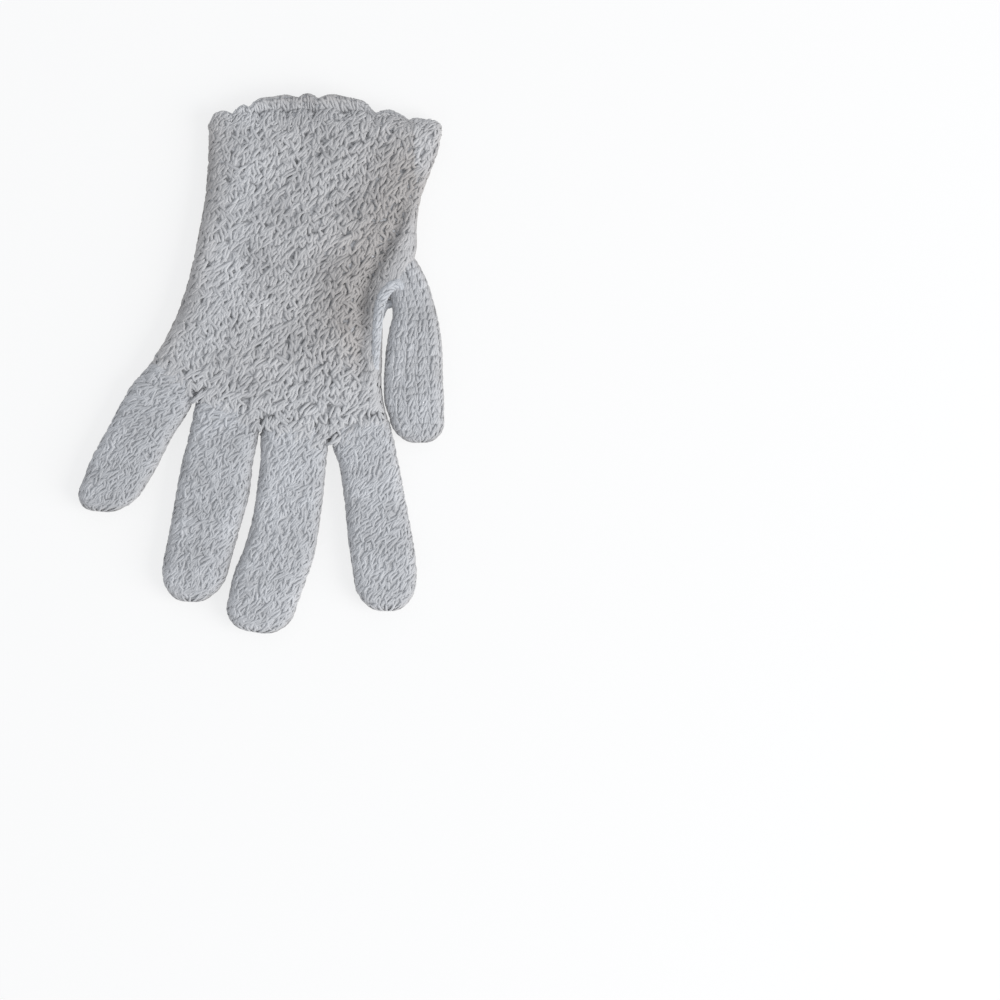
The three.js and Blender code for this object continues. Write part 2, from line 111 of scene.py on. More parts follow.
# root line (from x, y to x, y), tip (x, y), fullness of the tip, then the sections:
# left x, left y, right x, right y, height
DIGITS = {
    "little_finger": dict(
        root=(-46.0, 1.5, -27.0, -13.5),
        tip=(-68.2, -62.0),
        fullness=2.4,
        rows=[
            (-36.5, 14.0, -16.5, -1.5, 9.2),
            (-46.0, 1.5, -27.1, -13.4, 10.3),
            (-55.6, -9.8, -30.3, -19.9, 10.2),
            (-63.7, -24.8, -37.0, -30.4, 10.0),
            (-71.3, -38.4, -42.6, -41.4, 9.8),
            (-75.0, -48.0, -47.8, -50.4, 9.5),
        ],
    ),
    "ring_finger": dict(
        root=(-27.0, -13.5, -0.4, -27.2),
        tip=(-30.2, -100.0),
        fullness=2.25,
        rows=[
            (-18.0, -3.5, 2.6, -9.5, 9.2),
            (-26.9, -13.8, -0.6, -27.0, 10.3),
            (-30.4, -28.6, -1.5, -33.2, 10.2),
            (-33.5, -40.6, -3.3, -41.8, 10.1),
            (-36.1, -54.0, -5.0, -55.6, 10.0),
            (-38.6, -68.6, -8.9, -69.6, 9.9),
            (-41.5, -82.6, -12.9, -84.0, 9.6),
        ],
    ),
    "middle_finger": dict(
        root=(-0.4, -27.2, 29.0, -32.6),
        tip=(-3.0, -112.7),
        fullness=2.55,
        rows=[
            (6.0, -10.0, 28.4, -12.5, 9.2),
            (0.0, -27.4, 28.4, -32.4, 10.3),
            (-0.7, -39.6, 27.6, -40.2, 10.2),
            (-2.0, -51.8, 26.5, -53.0, 10.1),
            (-4.2, -65.2, 24.7, -67.4, 10.0),
            (-7.6, -77.4, 22.4, -80.8, 9.9),
            (-11.8, -87.8, 18.3, -93.2, 9.8),
            (-14.0, -97.2, 15.2, -101.8, 9.5),
        ],
    ),
    "index_finger": dict(
        root=(29.0, -32.6, 55.2, -28.0),
        tip=(52.6, -103.9),
        fullness=2.3,
        rows=[
            (31.0, -12.5, 48.6, -10.0, 9.0),
            (29.5, -32.4, 55.0, -27.8, 10.3),
            (32.4, -42.6, 57.8, -40.8, 10.2),
            (34.2, -54.2, 60.5, -54.8, 10.1),
            (35.4, -65.6, 62.7, -66.4, 10.0),
            (36.6, -77.6, 64.7, -78.0, 9.8),
            (38.2, -87.6, 65.6, -87.6, 9.6),
        ],
    ),
    "thumb": dict(
        root=(52.0, 23.6, 66.4, 44.6),
        tip=(66.8, -33.1),
        fullness=2.3,
        rows=[
            (49.5, 42.0, 62.0, 49.0, 8.6),
            (52.8, 31.4, 69.4, 36.2, 10.5),
            (55.0, 21.6, 73.6, 22.6, 10.6),
            (53.5, 14.2, 75.4, 13.6, 10.4),
            (52.1, 5.2, 76.3, 5.0, 10.2),
            (51.3, -6.0, 76.5, -6.0, 10.0),
            (51.5, -15.6, 77.0, -15.6, 9.7),
            (53.3, -21.4, 76.9, -21.0, 9.4),
        ],
    ),
}

# the scallops of the cuff: end as a share of the width, height of the top along +Y
FRONT_RIM = [
    (0.110, 106.7), (0.223, 107.8), (0.339, 108.0), (0.453, 108.3),
    (0.583, 108.3), (0.719, 107.4), (0.856, 106.4), (1.000, 103.2),
]
BACK_RIM = [
    (0.110, 106.8), (0.178, 108.9), (0.280, 112.0), (0.383, 113.3), (0.472, 113.9),
    (0.610, 113.5), (0.715, 110.9), (0.856, 106.8), (1.000, 103.3),
]
print("digits:", ", ".join(DIGITS))

# %% [markdown]
# ## The skin as a map
#
# A crocheter works round and round a tube. So each tube is turned into a map here: one
# direction runs round the flattened tube, the other runs along it from the cuff or the
# root to the tip, and a third number is the height above the cloth. Anything drawn flat
# on that map can then be laid on the glove. The sections are made smooth with a spline,
# and each is a flat bottom, two round sides and a soft crown on top.

# %% Smooth sections
CROWN_SHARE = 0.15      # part of the height that is the soft crown
FOLD_WIDTH = 3.2        # half width of the palm's fold, in mm
FOLD_DEEPER = 1.75      # the stitches dip this much further in the fold than the table says
RING = 192              # points round a tube
ROW_PARTS = 6           # sections made from each row of a table


def smooth_rows(rows, parts):
    """Rows of a table with smooth sections put between them."""
    table = np.array(rows, float)
    last = len(table) - 1
    made = []
    for i in range(last):
        a, b, c, d = (table[min(max(k, 0), last)] for k in (i - 1, i, i + 1, i + 2))
        for t in np.arange(parts) / parts:
            made.append(
                0.5 * (2 * b + (c - a) * t + (2 * a - 5 * b + 4 * c - d) * t**2
                       + (3 * b - a - 3 * c + d) * t**3)
            )
    made.append(table[last])
    return np.array(made)


def half_round(distance, radius):
    """Share of the full height at a distance from the side edge."""
    reach = 1 - np.clip(distance / radius, 0, 1)
    return np.sqrt(1 - reach**2)


def even_points(points, count):
    """The same line with points at equal steps."""
    step = np.linalg.norm(np.diff(points, axis=0), axis=1)
    run = np.concatenate([[0], np.cumsum(step)])
    at = np.linspace(0, run[-1], count, endpoint=False)
    return np.stack([np.interp(at, run, points[:, k]) for k in range(3)], axis=1)


def section_ring(row):
    """One closed cross-section: left edge, over the top, right edge, back underneath."""
    left_x, left_y, right_x, right_y, height, fold_at, fold_depth, floor = row
    width = math.hypot(right_x - left_x, right_y - left_y)
    middle = (floor + height) / 2
    rise = height - middle
    radius = min(rise, 0.3 * width)
    arc = (1 - np.cos(np.linspace(0, math.pi / 2, 9))) * radius / width
    stops = np.concatenate([arc, np.linspace(arc[-1], 1 - arc[-1], 80)[1:-1], 1 - arc[::-1]])
    from_edge = np.minimum(stops, 1 - stops) * width
    bend = half_round(from_edge, radius)
    crown = 1 - (2 * stops - 1) ** 2
    fold = FOLD_DEEPER * fold_depth * np.exp(-(((stops - fold_at) * width / FOLD_WIDTH) ** 2))
    top = middle + rise * ((1 - CROWN_SHARE) * bend + CROWN_SHARE * crown) - fold
    under = middle - rise * bend
    x = left_x + (right_x - left_x) * stops
    y = left_y + (right_y - left_y) * stops
    over = even_points(np.stack([x, y, top], 1), RING // 2)
    back = even_points(np.stack([x, y, under], 1)[::-1], RING // 2)
    return np.concatenate([over, back])


def tip_rows(last_row, tip, fullness, steps):
    """Sections that close a digit over its tip: an ellipse at fullness 2, blunter above."""
    left, right, height = last_row[0:2], last_row[2:4], last_row[4]
    middle, half = (left + right) / 2, (right - left) / 2
    low = height * 0.42
    rows = []
    for k in range(1, steps + 1):
        angle = k / (steps + 0.35) * math.pi / 2
        along, across = math.sin(angle) ** (2 / fullness), math.cos(angle) ** (2 / fullness)
        centre = middle + (np.array(tip) - middle) * along
        floor = low * (1 - across**0.6) * 0.8
        top = low + (height - low) * across**0.75
        rows.append([*(centre - half * across), *(centre + half * across), top, 0.5, 0.0, floor])
    return rows


hand_sections = [[*row, 0.0] for row in smooth_rows(HAND_ROWS, ROW_PARTS)]
digit_sections = {}
for name, digit in DIGITS.items():
    body = [[*row, 0.5, 0.0, 0.0] for row in smooth_rows(digit["rows"], ROW_PARTS)]
    body += tip_rows(np.array(body[-1]), digit["tip"], digit["fullness"], 14)
    digit_sections[name] = body
print("sections:", len(hand_sections), {k: len(v) for k, v in digit_sections.items()})


# %% The map of a tube
class Skin:
    """A tube of cloth that can be looked up by place round it, run along it and height."""

    def __init__(self, rings):
        self.points = np.array(rings)
        self.points[..., 0] += TABLE_TO_FRAME[0]
        self.points[..., 1] += TABLE_TO_FRAME[1]
        crest = self.points[:, self.points.shape[1] // 4]
        steps = np.linalg.norm(np.diff(crest, axis=0), axis=1)
        self.run = np.concatenate([[0], np.cumsum(steps)])
        around = np.roll(self.points, -1, axis=1) - np.roll(self.points, 1, axis=1)
        along = np.gradient(self.points, axis=0)
        normal = np.cross(along, around)
        length = np.linalg.norm(normal, axis=2, keepdims=True)
        self.normals = normal / np.maximum(length, 1e-9)
        around_mm = np.linalg.norm(around, axis=2).sum(axis=1) / 2
        self.girth = float(np.median(around_mm))

    def place(self, u, run, height=None):
        """Points for u (0 to 1 round the tube), run (mm along it) and height above the
        ground, where the outer side of the glove is YARN_DEPTH above the ground."""
        count = self.points.shape[1]
        row = np.interp(run, self.run, np.arange(len(self.run)))
        r0 = np.clip(np.floor(row).astype(int), 0, len(self.run) - 2)
        rt = (row - r0)[..., None]
        col = np.mod(u, 1.0) * count
        c0 = np.floor(col).astype(int) % count
        ct = (col - np.floor(col))[..., None]
        c1 = (c0 + 1) % count
        mixed = []
        for grid in (self.points, self.normals):
            a = grid[r0, c0] * (1 - ct) + grid[r0, c1] * ct
            b = grid[r0 + 1, c0] * (1 - ct) + grid[r0 + 1, c1] * ct
            mixed.append(a * (1 - rt) + b * rt)
        lift = -YARN_DEPTH if height is None else (height - YARN_DEPTH)[..., None]
        return mixed[0] + mixed[1] * lift

    def local_steps(self, u, run):
        """How far u and run move for one mm across and one mm up the cloth at a place."""
        du, dr = 0.004, 0.8
        across = (self.place(u + du, run) - self.place(u - du, run)) / (2 * du)
        low, high = np.maximum(run - dr, 0), np.minimum(run + dr, self.run[-1])
        along = (self.place(u, high) - self.place(u, low)) / (high - low)[..., None]
        # a closed tip has hardly any girth, so it counts as at least a third of the tube's
        girth = np.maximum(np.linalg.norm(across, axis=-1), 0.35 * self.girth)
        first = across / np.maximum(np.linalg.norm(across, axis=-1, keepdims=True), 1e-6)
        skew = (along * first).sum(-1)
        down = np.maximum(np.linalg.norm(along - first * skew[..., None], axis=-1), 0.3)
        return 1 / girth, skew / (down * girth), -1 / down


TABLE_REST = 0.1        # height where yarn begins to be pressed on the table, mm
YARN_DEPTH = 0.68       # depth of the layer of yarn above the ground, mm
skins = {"hand": Skin([section_ring(row) for row in hand_sections])}
for name, rows in digit_sections.items():
    skins[name] = Skin([section_ring(row) for row in rows])
print("girth, mm:", {k: round(s.girth) for k, s in skins.items()})

# %% [markdown]
# ## The ground under the stitches
#
# Between the loops one sees more yarn, deeper down. The ground stands for it: a grid
# primitive is rolled into a tube, its seam and its tip are closed by merging doubles, and
# Solidify gives it a wall, which leaves the tube hollow and open at the wrist. It lies a
# little under the outer side, so that the yarn on top of it ends where the CAD skin is.

# %% Roll a grid into a tube
GROUND_WALL = 0.7       # thickness of the ground, mm


def only(obj):
    """Make obj the one selected and active object."""
    bpy.ops.object.select_all(action="DESELECT")
    obj.select_set(True)
    bpy.context.view_layer.objects.active = obj


def rolled_tube(name, rings, closed_end):
    """A tube through the rings; the last ring is drawn together to a point if asked."""
    rings = np.array(rings)
    if closed_end:
        rings = np.concatenate([rings, np.repeat(rings[-1:].mean(1, keepdims=True), rings.shape[1], 1)])
    rows, count = rings.shape[:2]
    bpy.ops.object.select_all(action="DESELECT")
    bpy.ops.mesh.primitive_grid_add(x_subdivisions=count, y_subdivisions=rows - 1, size=1)
    tube = bpy.context.object
    tube.name = tube.data.name = name
    wrapped = np.concatenate([rings, rings[:, :1]], axis=1) * MM
    tube.data.vertices.foreach_set("co", wrapped.reshape(-1).astype(np.float32))
    bpy.ops.object.mode_set(mode="EDIT")
    bpy.ops.mesh.select_all(action="SELECT")
    bpy.ops.mesh.remove_doubles(threshold=0.00001)
    bpy.ops.mesh.normals_make_consistent(inside=False)
    bpy.ops.object.mode_set(mode="OBJECT")
    return tube


def with_wall(tube):
    """The tube with a wall on its inner side and soft shading."""
    wall = tube.modifiers.new("wall", "SOLIDIFY")
    wall.thickness = GROUND_WALL * MM
    wall.offset = -1.0
    only(tube)
    bpy.ops.object.modifier_apply(modifier=wall.name)
    bpy.ops.object.shade_smooth()
    return tube


def ground_tube(name, skin, first=0):
    """The hollow ground of one tube, from section number first on, closed at its far end."""
    inner = skin.points[first:, ::2] - skin.normals[first:, ::2] * YARN_DEPTH
    return with_wall(rolled_tube(name, inner[:: 2 if len(inner) > 40 else 1], True))


ROOT_START = 4          # sections of a digit that lie inside the palm
ground = {"hand": ground_tube("hand_ground", skins["hand"])}
for name in DIGITS:
    ground[name] = ground_tube(name + "_ground", skins[name], ROOT_START)
for name, tube in ground.items():
    print(tube.name, len(tube.data.polygons), "faces")

# %% [markdown]
# ## A length of yarn
#
# A stitch is yarn bent over and under its neighbours. One short length is modelled first: a
# five-sided cylinder, cut across into a few segments so that it can bend, with its ends drawn
# in. Worn cotton is pressed, so a length is less than half as high as it is wide.
# It has only a few dozen faces, because it is repeated thousands of times.
# Each copy is then bent along a path that is drawn flat, in millimetres across, along and
# up, and all copies go into one mesh, because thousands of objects would be slow.

# %% Model one length of yarn
YARN_RADIUS = 0.56     # mm
FLATNESS = 0.42        # height of a pressed length as a share of its width
SIDES = 5              # round a length
POINTS = 5             # along a length


def straight_length():
    """A five-sided length of yarn, one unit long and one unit in radius."""
    bpy.ops.object.select_all(action="DESELECT")
    bpy.ops.mesh.primitive_cylinder_add(vertices=SIDES, radius=1, depth=1, location=(0, 0, 0.5))
    obj = bpy.context.object
    bpy.ops.object.transform_apply(location=True, rotation=False, scale=False)
    bpy.ops.object.mode_set(mode="EDIT")
    for cut in range(1, POINTS - 1):
        bpy.ops.mesh.select_all(action="SELECT")
        bpy.ops.mesh.bisect(plane_co=(0, 0, cut / (POINTS - 1)), plane_no=(0, 0, 1))
    bpy.ops.object.mode_set(mode="OBJECT")
    return obj


class YarnLength:
    """The faces of a straight length, by level along it and side round it."""

    def __init__(self):
        obj = straight_length()
        place = np.array([v.co for v in obj.data.vertices])
        self.level = np.rint(place[:, 2] * (POINTS - 1)).astype(int)
        turn = np.arctan2(place[:, 1], place[:, 0]) / (2 * math.pi) * SIDES
        self.side = np.mod(np.rint(turn - turn[0]), SIDES).astype(int)
        self.faces = [list(face.vertices) for face in obj.data.polygons]
        bpy.data.objects.remove(obj)

    def face_uvs(self):
        """UVs of the faces' corners: once round the length is 1, one point along is 0.5."""
        uv = []
        for face in self.faces:
            around = self.side[face] / SIDES
            if around.max() - around.min() > 0.5:
                around = np.where(around < 0.5, around + 1, around)
            uv.append(np.stack([around, self.level[face] * 0.5], 1))
        return np.concatenate(uv)


LENGTH = YarnLength()
print("a length of yarn has", len(LENGTH.faces), "faces")

# %% Bend lengths along paths
rng = np.random.default_rng(12)     # one source of chance, so that each run makes the same glove
RING_TURN = 0.3         # turn of the five corners round a point, radians
END_SHARE = 0.7         # thickness of a length at its ends, as a share of the middle


def unit(vectors):
    """The same directions, all one long."""
    return vectors / (np.linalg.norm(vectors, axis=-1, keepdims=True) + 1e-9)


def ring_corners(points, lateral, upward, radius):
    """Flat rings of corners round every point, drawn in at both ends of a length."""
    angle = (np.arange(SIDES) / SIDES * 2 * math.pi + RING_TURN)[None, None, :, None]
    ends = np.ones(points.shape[1])
    ends[0] = ends[-1] = END_SHARE
    reach = radius[:, None, None, None] * ends[None, :, None, None]
    ring = np.cos(angle) * lateral[:, :, None] + FLATNESS * np.sin(angle) * upward[:, :, None]
    return points[:, :, None] + reach * ring


def tube_corners(paths, radius):
    """Rings of corners round paths given as (length, point, xyz) on the flat map."""
    tangent = unit(np.gradient(paths, axis=1))
    lateral = unit(np.stack([-tangent[..., 1], tangent[..., 0], np.zeros(tangent.shape[:2])], -1))
    return ring_corners(paths, lateral, np.cross(tangent, lateral), radius)


# %% [markdown]
# ## Painted shade and some soil
#
# The cotton is tinted browner and darker in places. In the palm's fold this is partly soil and
# partly painted shade. In the hollow beside the fold, on the cuff's rim and along the side edges it
# is painted shade, and the hand is a little darker than the digits. A band along the hand's left
# side is left lighter, as painted light. The amount is a number on every point, made from its
# distance to drawn lines, and the finish turns it into a tint. Numbers on the points follow any
# shape, while a painted picture would have to be stretched over it.

# %% How much painted shade and soil a point gets
# the palm's fold, from the wrist to the finger roots
FOLD_LINE = [
    (64.6, 74.6), (60.1, 63.6), (54.1, 50.6), (45.6, 35.1), (42.6, 22.1), (41.6, 5.6), (42.1, -9.4),
]
FOLD_REACH = 6.0        # of the sharp soil and painted shade in the fold itself, mm
HOLLOW_REACH = 22.0     # of the soft shade in the hollow of the palm, mm
LIT_BAND_AWAY, LIT_BAND_REACH = 17.0, 11.0    # place and half width of the painted light band, mm
SIDE_REACH = 7.0        # of the shade along the hand's left side edge, mm
SIDE_HEIGHT = 4.5       # of the side edges over the table, mm
RIM_START = 108.0       # from here on along +Y the rim gets painted shade, mm
# what each place adds to the tint: fold is soil and painted shade; hollow, rim, left_side and
# edges are painted shade; palm is more on the hand than on the digits; cotton is left out in
# the painted light band
SHADE_AND_SOIL_WEIGHTS = dict(cotton=0.2, palm=0.14, fold=0.527, hollow=0.748, rim=0.425, left_side=0.35, edges=0.6)


def shade_and_soil(points):
    """How much browner and darker the cotton is tinted: most in the palm's fold, partly soil and
    partly painted shade, as painted shade beside it, on the cuff's rim and on the side edges, and
    least in a painted light band along the little finger's side of the hand."""
    x, y, z = points.T
    line = np.array(FOLD_LINE)
    nearest = np.full(len(points), np.inf)
    for (x0, y0), (x1, y1) in zip(line[:-1], line[1:]):
        span = (x1 - x0) ** 2 + (y1 - y0) ** 2
        t = np.clip(((x - x0) * (x1 - x0) + (y - y0) * (y1 - y0)) / span, 0, 1)
        nearest = np.minimum(nearest, np.hypot(x - x0 - t * (x1 - x0), y - y0 - t * (y1 - y0)))
    palm_side = x < np.interp(y, line[::-1, 1], line[::-1, 0])
    # soil and painted shade in the fold, painted shade in the hollow beside it
    sharp = np.exp(-((nearest / FOLD_REACH) ** 2))
    hollow = np.exp(-((nearest / HOLLOW_REACH) ** 2)) * palm_side
    fade = np.clip((y + 8) / 26, 0, 1) * (z > 5)
    table = np.array(HAND_ROWS)[::-1]
    from_side = x - np.interp(y, table[:, 1], table[:, 0])
    # painted light: a lighter band along the hand's left side
    lit_band = np.exp(-(((from_side - LIT_BAND_AWAY) / LIT_BAND_REACH) ** 2)) * np.clip((y + 15) / 20, 0, 1)
    # painted shade along the hand's left side edge, turned away from the window
    left_side = np.exp(-((from_side / SIDE_REACH) ** 2)) * (y > 0)
    # painted shade on the side edges of the tubes
    edges = np.exp(-(((z - SIDE_HEIGHT) / 3.0) ** 2)) * np.clip((104 - y) / 8, 0, 1)
    places = dict(cotton=1 - lit_band, palm=np.clip((y + 20) / 20, 0, 1), fold=sharp * fade,
                  hollow=hollow * fade, rim=np.clip((y - RIM_START) / 4, 0, 1),
                  left_side=left_side, edges=edges)
    return sum(SHADE_AND_SOIL_WEIGHTS[name] * amount for name, amount in places.items())


# the places where shade and soil are painted on the cotton
print("places of wear:", ", ".join(SHADE_AND_SOIL_WEIGHTS))


# %% [markdown]
# ## All lengths in one mesh
#
# The modelled length gives the faces, and the rings along the paths give the places of their
# corners. The random tone, the height, and the painted shade and soil of the yarn are written on
# the points for the finish.

# %% Make a mesh of many lengths
def yarn_object(name, bundles, shade_and_soil_share=1.0):
    """One mesh from bundles of (corners in mm, shade of each length, height of each point)."""
    corners, shade, height = (np.concatenate([b[k] for b in bundles]) for k in range(3))
    count, per_length = len(corners), len(LENGTH.level)
    verts = corners[:, LENGTH.level, LENGTH.side].reshape(-1, 3)
    # the third mark is the painted shade and soil, times its share
    marks = np.stack([np.repeat(shade, per_length), height[:, LENGTH.level].reshape(-1),
                      shade_and_soil_share * shade_and_soil(verts)], 1)
    first = np.arange(count)[:, None] * per_length
    loops = (first + np.concatenate(LENGTH.faces)).reshape(-1)
    totals = np.tile([len(face) for face in LENGTH.faces], count)
    uvs = np.tile(LENGTH.face_uvs(), (count, 1))
    mesh = bpy.data.meshes.new(name)
    mesh.vertices.add(len(verts))
    mesh.vertices.foreach_set("co", (verts * MM).reshape(-1).astype(np.float32))
    mesh.loops.add(len(loops))
    mesh.loops.foreach_set("vertex_index", loops.astype(np.int32))
    mesh.polygons.add(len(totals))
    starts = np.concatenate([[0], np.cumsum(totals)[:-1]])
    mesh.polygons.foreach_set("loop_start", starts.astype(np.int32))
    mesh.polygons.foreach_set("use_smooth", np.ones(len(totals), bool))
    mesh.uv_layers.new(name="yarn")
    mesh.uv_layers["yarn"].data.foreach_set("uv", uvs.reshape(-1).astype(np.float32))
    for k, label in enumerate(("length_shade", "loft", "painted_shade_and_soil")):
        layer = mesh.attributes.new(label, "FLOAT", "POINT")
        layer.data.foreach_set("value", marks[:, k].astype(np.float32))
    mesh.update(calc_edges=True)
    obj = bpy.data.objects.new(name, mesh)
    bpy.context.scene.collection.objects.link(obj)
    print(name, int((totals - 2).sum()), "triangles")
    return obj


# %% [markdown]
# ## The slanted shell stitch
#
# Each shell has two tiers. The upper one is twelve posts: fives that lean to the right, and
# between them single ones that stand nearly upright and lie on top. The lower tier is the
# loops of older stitches, threes that lean right with one leg crossing to the left. Both
# tiers are arched, so that the ends of every length dip under its neighbours. Crochet
# hides its ground almost everywhere, and shows it only in the short slits where one group
# crosses the next.

# %% Draw one shell
SHELL_WIDTH = 10.1      # mm


def strand(start, end, sag, low, high, sway=0.0):
    """A path from start to end that bows by sag, sways like an S, and arches up to high."""
    t = np.linspace(0, 1, POINTS)
    start, end = np.array(start, float), np.array(end, float)
    side = np.array([-(end - start)[1], (end - start)[0]])
    side /= np.linalg.norm(side)
    off = sag * np.sin(math.pi * t) + sway * np.sin(2 * math.pi * t)
    flat = start + (end - start) * t[:, None] + side * off[:, None]
    rise = low + (high - low) * np.sin(math.pi * t) ** 1.1
    return np.concatenate([flat, rise[:, None]], axis=1)


def row_slope(x):
    """Both tiers drop to the right inside a shell and start afresh at its deep slit."""
    return 1.1 - 0.22 * ((x - 5.3) % SHELL_WIDTH)


# upper tier: foot of the post, lean to the right over its length, height
POSTS = [
    (0.0, 3.5, 0.60), (0.9, 3.5, 0.68), (1.8, 3.3, 0.62), (2.7, 3.0, 0.56), (3.6, 2.5, 0.60),
    (5.0, 3.5, 0.62), (5.9, 3.5, 0.72), (6.8, 3.3, 0.64), (7.7, 3.0, 0.58), (8.6, 2.5, 0.60),
    (4.5, -0.3, 0.76), (9.7, -0.8, 0.74),
]
# lower tier: foot of the loop's leg, lean to the right, height
LEGS = [
    (0.5, 2.3, 0.58), (1.4, 2.3, 0.64), (2.3, 2.0, 0.56), (3.4, -1.6, 0.74),
    (3.9, 2.3, 0.58), (4.8, 2.3, 0.64), (5.7, 2.0, 0.56), (6.7, -1.6, 0.74),
    (7.2, 2.3, 0.58), (8.1, 2.3, 0.64), (9.0, 2.0, 0.56), (10.1, -1.6, 0.74),
]


def shell_drawing():
    """The lengths of yarn of one shell, in mm across, along and up."""
    lengths = []
    for x, lean, high in POSTS:
        y = 2.5 + row_slope(x)
        lengths.append(strand((x, y), (x + lean, y + 5.5), 0.25, 0.15, high, 0.15))
    for x, lean, high in LEGS:
        y = row_slope(x) - 1.2
        lengths.append(strand((x, y), (x + lean, y + 4.8), -0.25, 0.15, high))
    return np.array(lengths)


shell = shell_drawing()
print("one shell:", len(POSTS), "posts and", len(LEGS), "legs of loops")

# %% [markdown]
# ## Lay the shells round a tube
#
# The drawing of one shell is repeated round the tube and down its length. Each copy keeps
# its true size and lean, whatever the tube does there, since it is placed by the local
# steps of the map. Every length of yarn then gets a little wobble in place, lean, curl,
# height and thickness, so that no two shells are alike, and its ends may dip under the
# neighbours, which makes it look shorter. A length is kept only if its middle lies in the
# part of the glove that this tube shows, and what would sink into the table is pressed flat.

# %% Repeat a drawing over a tube
PRESSED_SHARE = 0.85    # of the depth below TABLE_REST that is taken back


def pressed(points):
    """The glove's own weight presses yarn that would reach below the table flat."""
    points[..., 2] -= PRESSED_SHARE * np.minimum(points[..., 2] - TABLE_REST, 0)
    return points


def copy_places(skin, around, height, start, step_in, slope, stagger):
    """Where the copies go, as u and run, and the local steps of the map at each place. Where
    a tube narrows to its tip the columns crowd, so some copies are left out there."""
    row_count = int((skin.run[-1] - start + 2 * slope) / height) + 2
    rows, columns = np.meshgrid(np.arange(-1, row_count), np.arange(around), indexing="ij")
    rows, columns = rows.reshape(-1), columns.reshape(-1)
    u = (columns + step_in * rows + 0.5) / around + rng.normal(0, 0.012 / around, rows.size)
    run = start + (rows + 0.5) * height - slope * np.cos(2 * math.pi * u)
    run = run + rng.normal(0, stagger, rows.size)
    on_tube = (run > -4) & (run < skin.run[-1] + 2)
    u, run = u[on_tube], np.clip(run[on_tube], 0.0, skin.run[-1] - 0.8)
    u_across, u_up, run_up = skin.local_steps(u, run)
    crowd = np.clip(0.75 * skin.girth * u_across, 1, 3)
    chosen = rng.random(len(u)) < 1.5 / crowd
    return [v[chosen] for v in (u, run, u_across, u_up, run_up)]


def varied_paths(drawing, depth, wobble, twirl, curl, dip):
    """One copy of the drawing for each depth; every length gets its own small differences."""
    paths = np.repeat(drawing[None], len(depth), axis=0)
    each = paths.shape[:2]
    t = np.linspace(-1, 1, POINTS)
    half = np.abs(drawing[:, -1, 1] - drawing[:, 0, 1])[None, :, None] / 2
    paths[..., :2] += rng.normal(0, wobble, (*each, 1, 2))
    paths[..., 0] += rng.normal(0, twirl, each)[..., None] * half * t
    paths[..., 0] += rng.normal(0, curl, each)[..., None] * (1 - t**2)
    paths[..., 2] *= depth[:, None, None] * rng.normal(1, 0.16, (*each, 1))
    paths[..., 2] -= dip * t**2
    return paths


def lay(skin, drawing, around, height, keep, start=0.0, step_in=0.375, slope=0.0, turn=0.0,
        thickness=1.0, relief=0.9, wobble=0.2, twirl=0.36, curl=0.55,
        stagger=0.12, dip=0.0, middle=(5.6, 3.8)):
    """Corners, shade, height and place of every length of a drawing repeated over a tube.

    Columns around and rows of this height are laid from start on. Each row is shifted by
    step_in of a column. It comes down by slope from the left edge to the middle, and by as
    much again to the right edge. The drawing turns about its middle. Wobble, twirl and curl
    are the differences between the lengths in place, lean and bow, stagger is that between
    the copies along the tube, and dip is how far the ends of a length go down."""
    places = copy_places(skin, around, height, start, step_in, slope, stagger)
    lean = turn + rng.normal(0, 0.09, len(places[0]))
    centre = skin.place(*places[:2])
    depth = relief(centre[:, 0], centre[:, 1]) if callable(relief) else relief
    depth = depth * rng.normal(1, 0.08, len(centre))
    paths = varied_paths(drawing, depth, wobble, twirl, curl, dip)
    radius = YARN_RADIUS * thickness * rng.normal(1, 0.07, paths.shape[:2])
    corners = tube_corners(paths.reshape(-1, POINTS, 3), radius.reshape(-1))
    corners = corners.reshape(*paths.shape[:3], SIDES, 3)
    u, run, u_across, u_up, run_up, lean = (v[:, None, None, None] for v in (*places, lean))
    across, up = corners[..., 0] - middle[0], corners[..., 1] - middle[1]
    cos, sin = np.cos(lean), np.sin(lean)
    across, up = across * cos - up * sin, across * sin + up * cos
    at_u = u + across * u_across + up * u_up
    at_run = run + up * run_up
    laid = pressed(skin.place(at_u, at_run, corners[..., 2]))
    spot = laid[:, :, POINTS // 2].mean(axis=2)
    whole = (at_run.min(axis=(2, 3)) > 0) & (at_run.max(axis=(2, 3)) < skin.run[-1])
    kept = whole & keep(spot[..., 0], spot[..., 1], np.mod(at_u[:, :, POINTS // 2, 0], 1.0))
    shade = rng.normal(0, 1, kept.shape) + rng.normal(0, 1.3, (len(kept), 1))
    return laid[kept], shade[kept], paths[kept][..., 2], spot[kept]


def side_of(root, x, y):
    """How far beyond a root line a point lies, on the side of the tip."""
    x0, y0, x1, y1 = root
    length = math.hypot(x1 - x0, y1 - y0)
    px, py = x - TABLE_TO_FRAME[0] - x0, y - TABLE_TO_FRAME[1] - y0
    return (px * (y1 - y0) - py * (x1 - x0)) / length


FINGERS = [name for name in DIGITS if name != "thumb"]
thumb_rows = smooth_rows(DIGITS["thumb"]["rows"], ROW_PARTS)
thumb_rows = thumb_rows[np.argsort(thumb_rows[:, 1])]


def in_thumb(x, y):
    """True for places beyond the thumb's root line and inside its outline."""
    left = np.interp(y - TABLE_TO_FRAME[1], thumb_rows[:, 1], thumb_rows[:, 0])
    beyond = side_of(DIGITS["thumb"]["root"], x, y) > 0
    return beyond & (x - TABLE_TO_FRAME[0] > left - 0.2) & (y > 12)


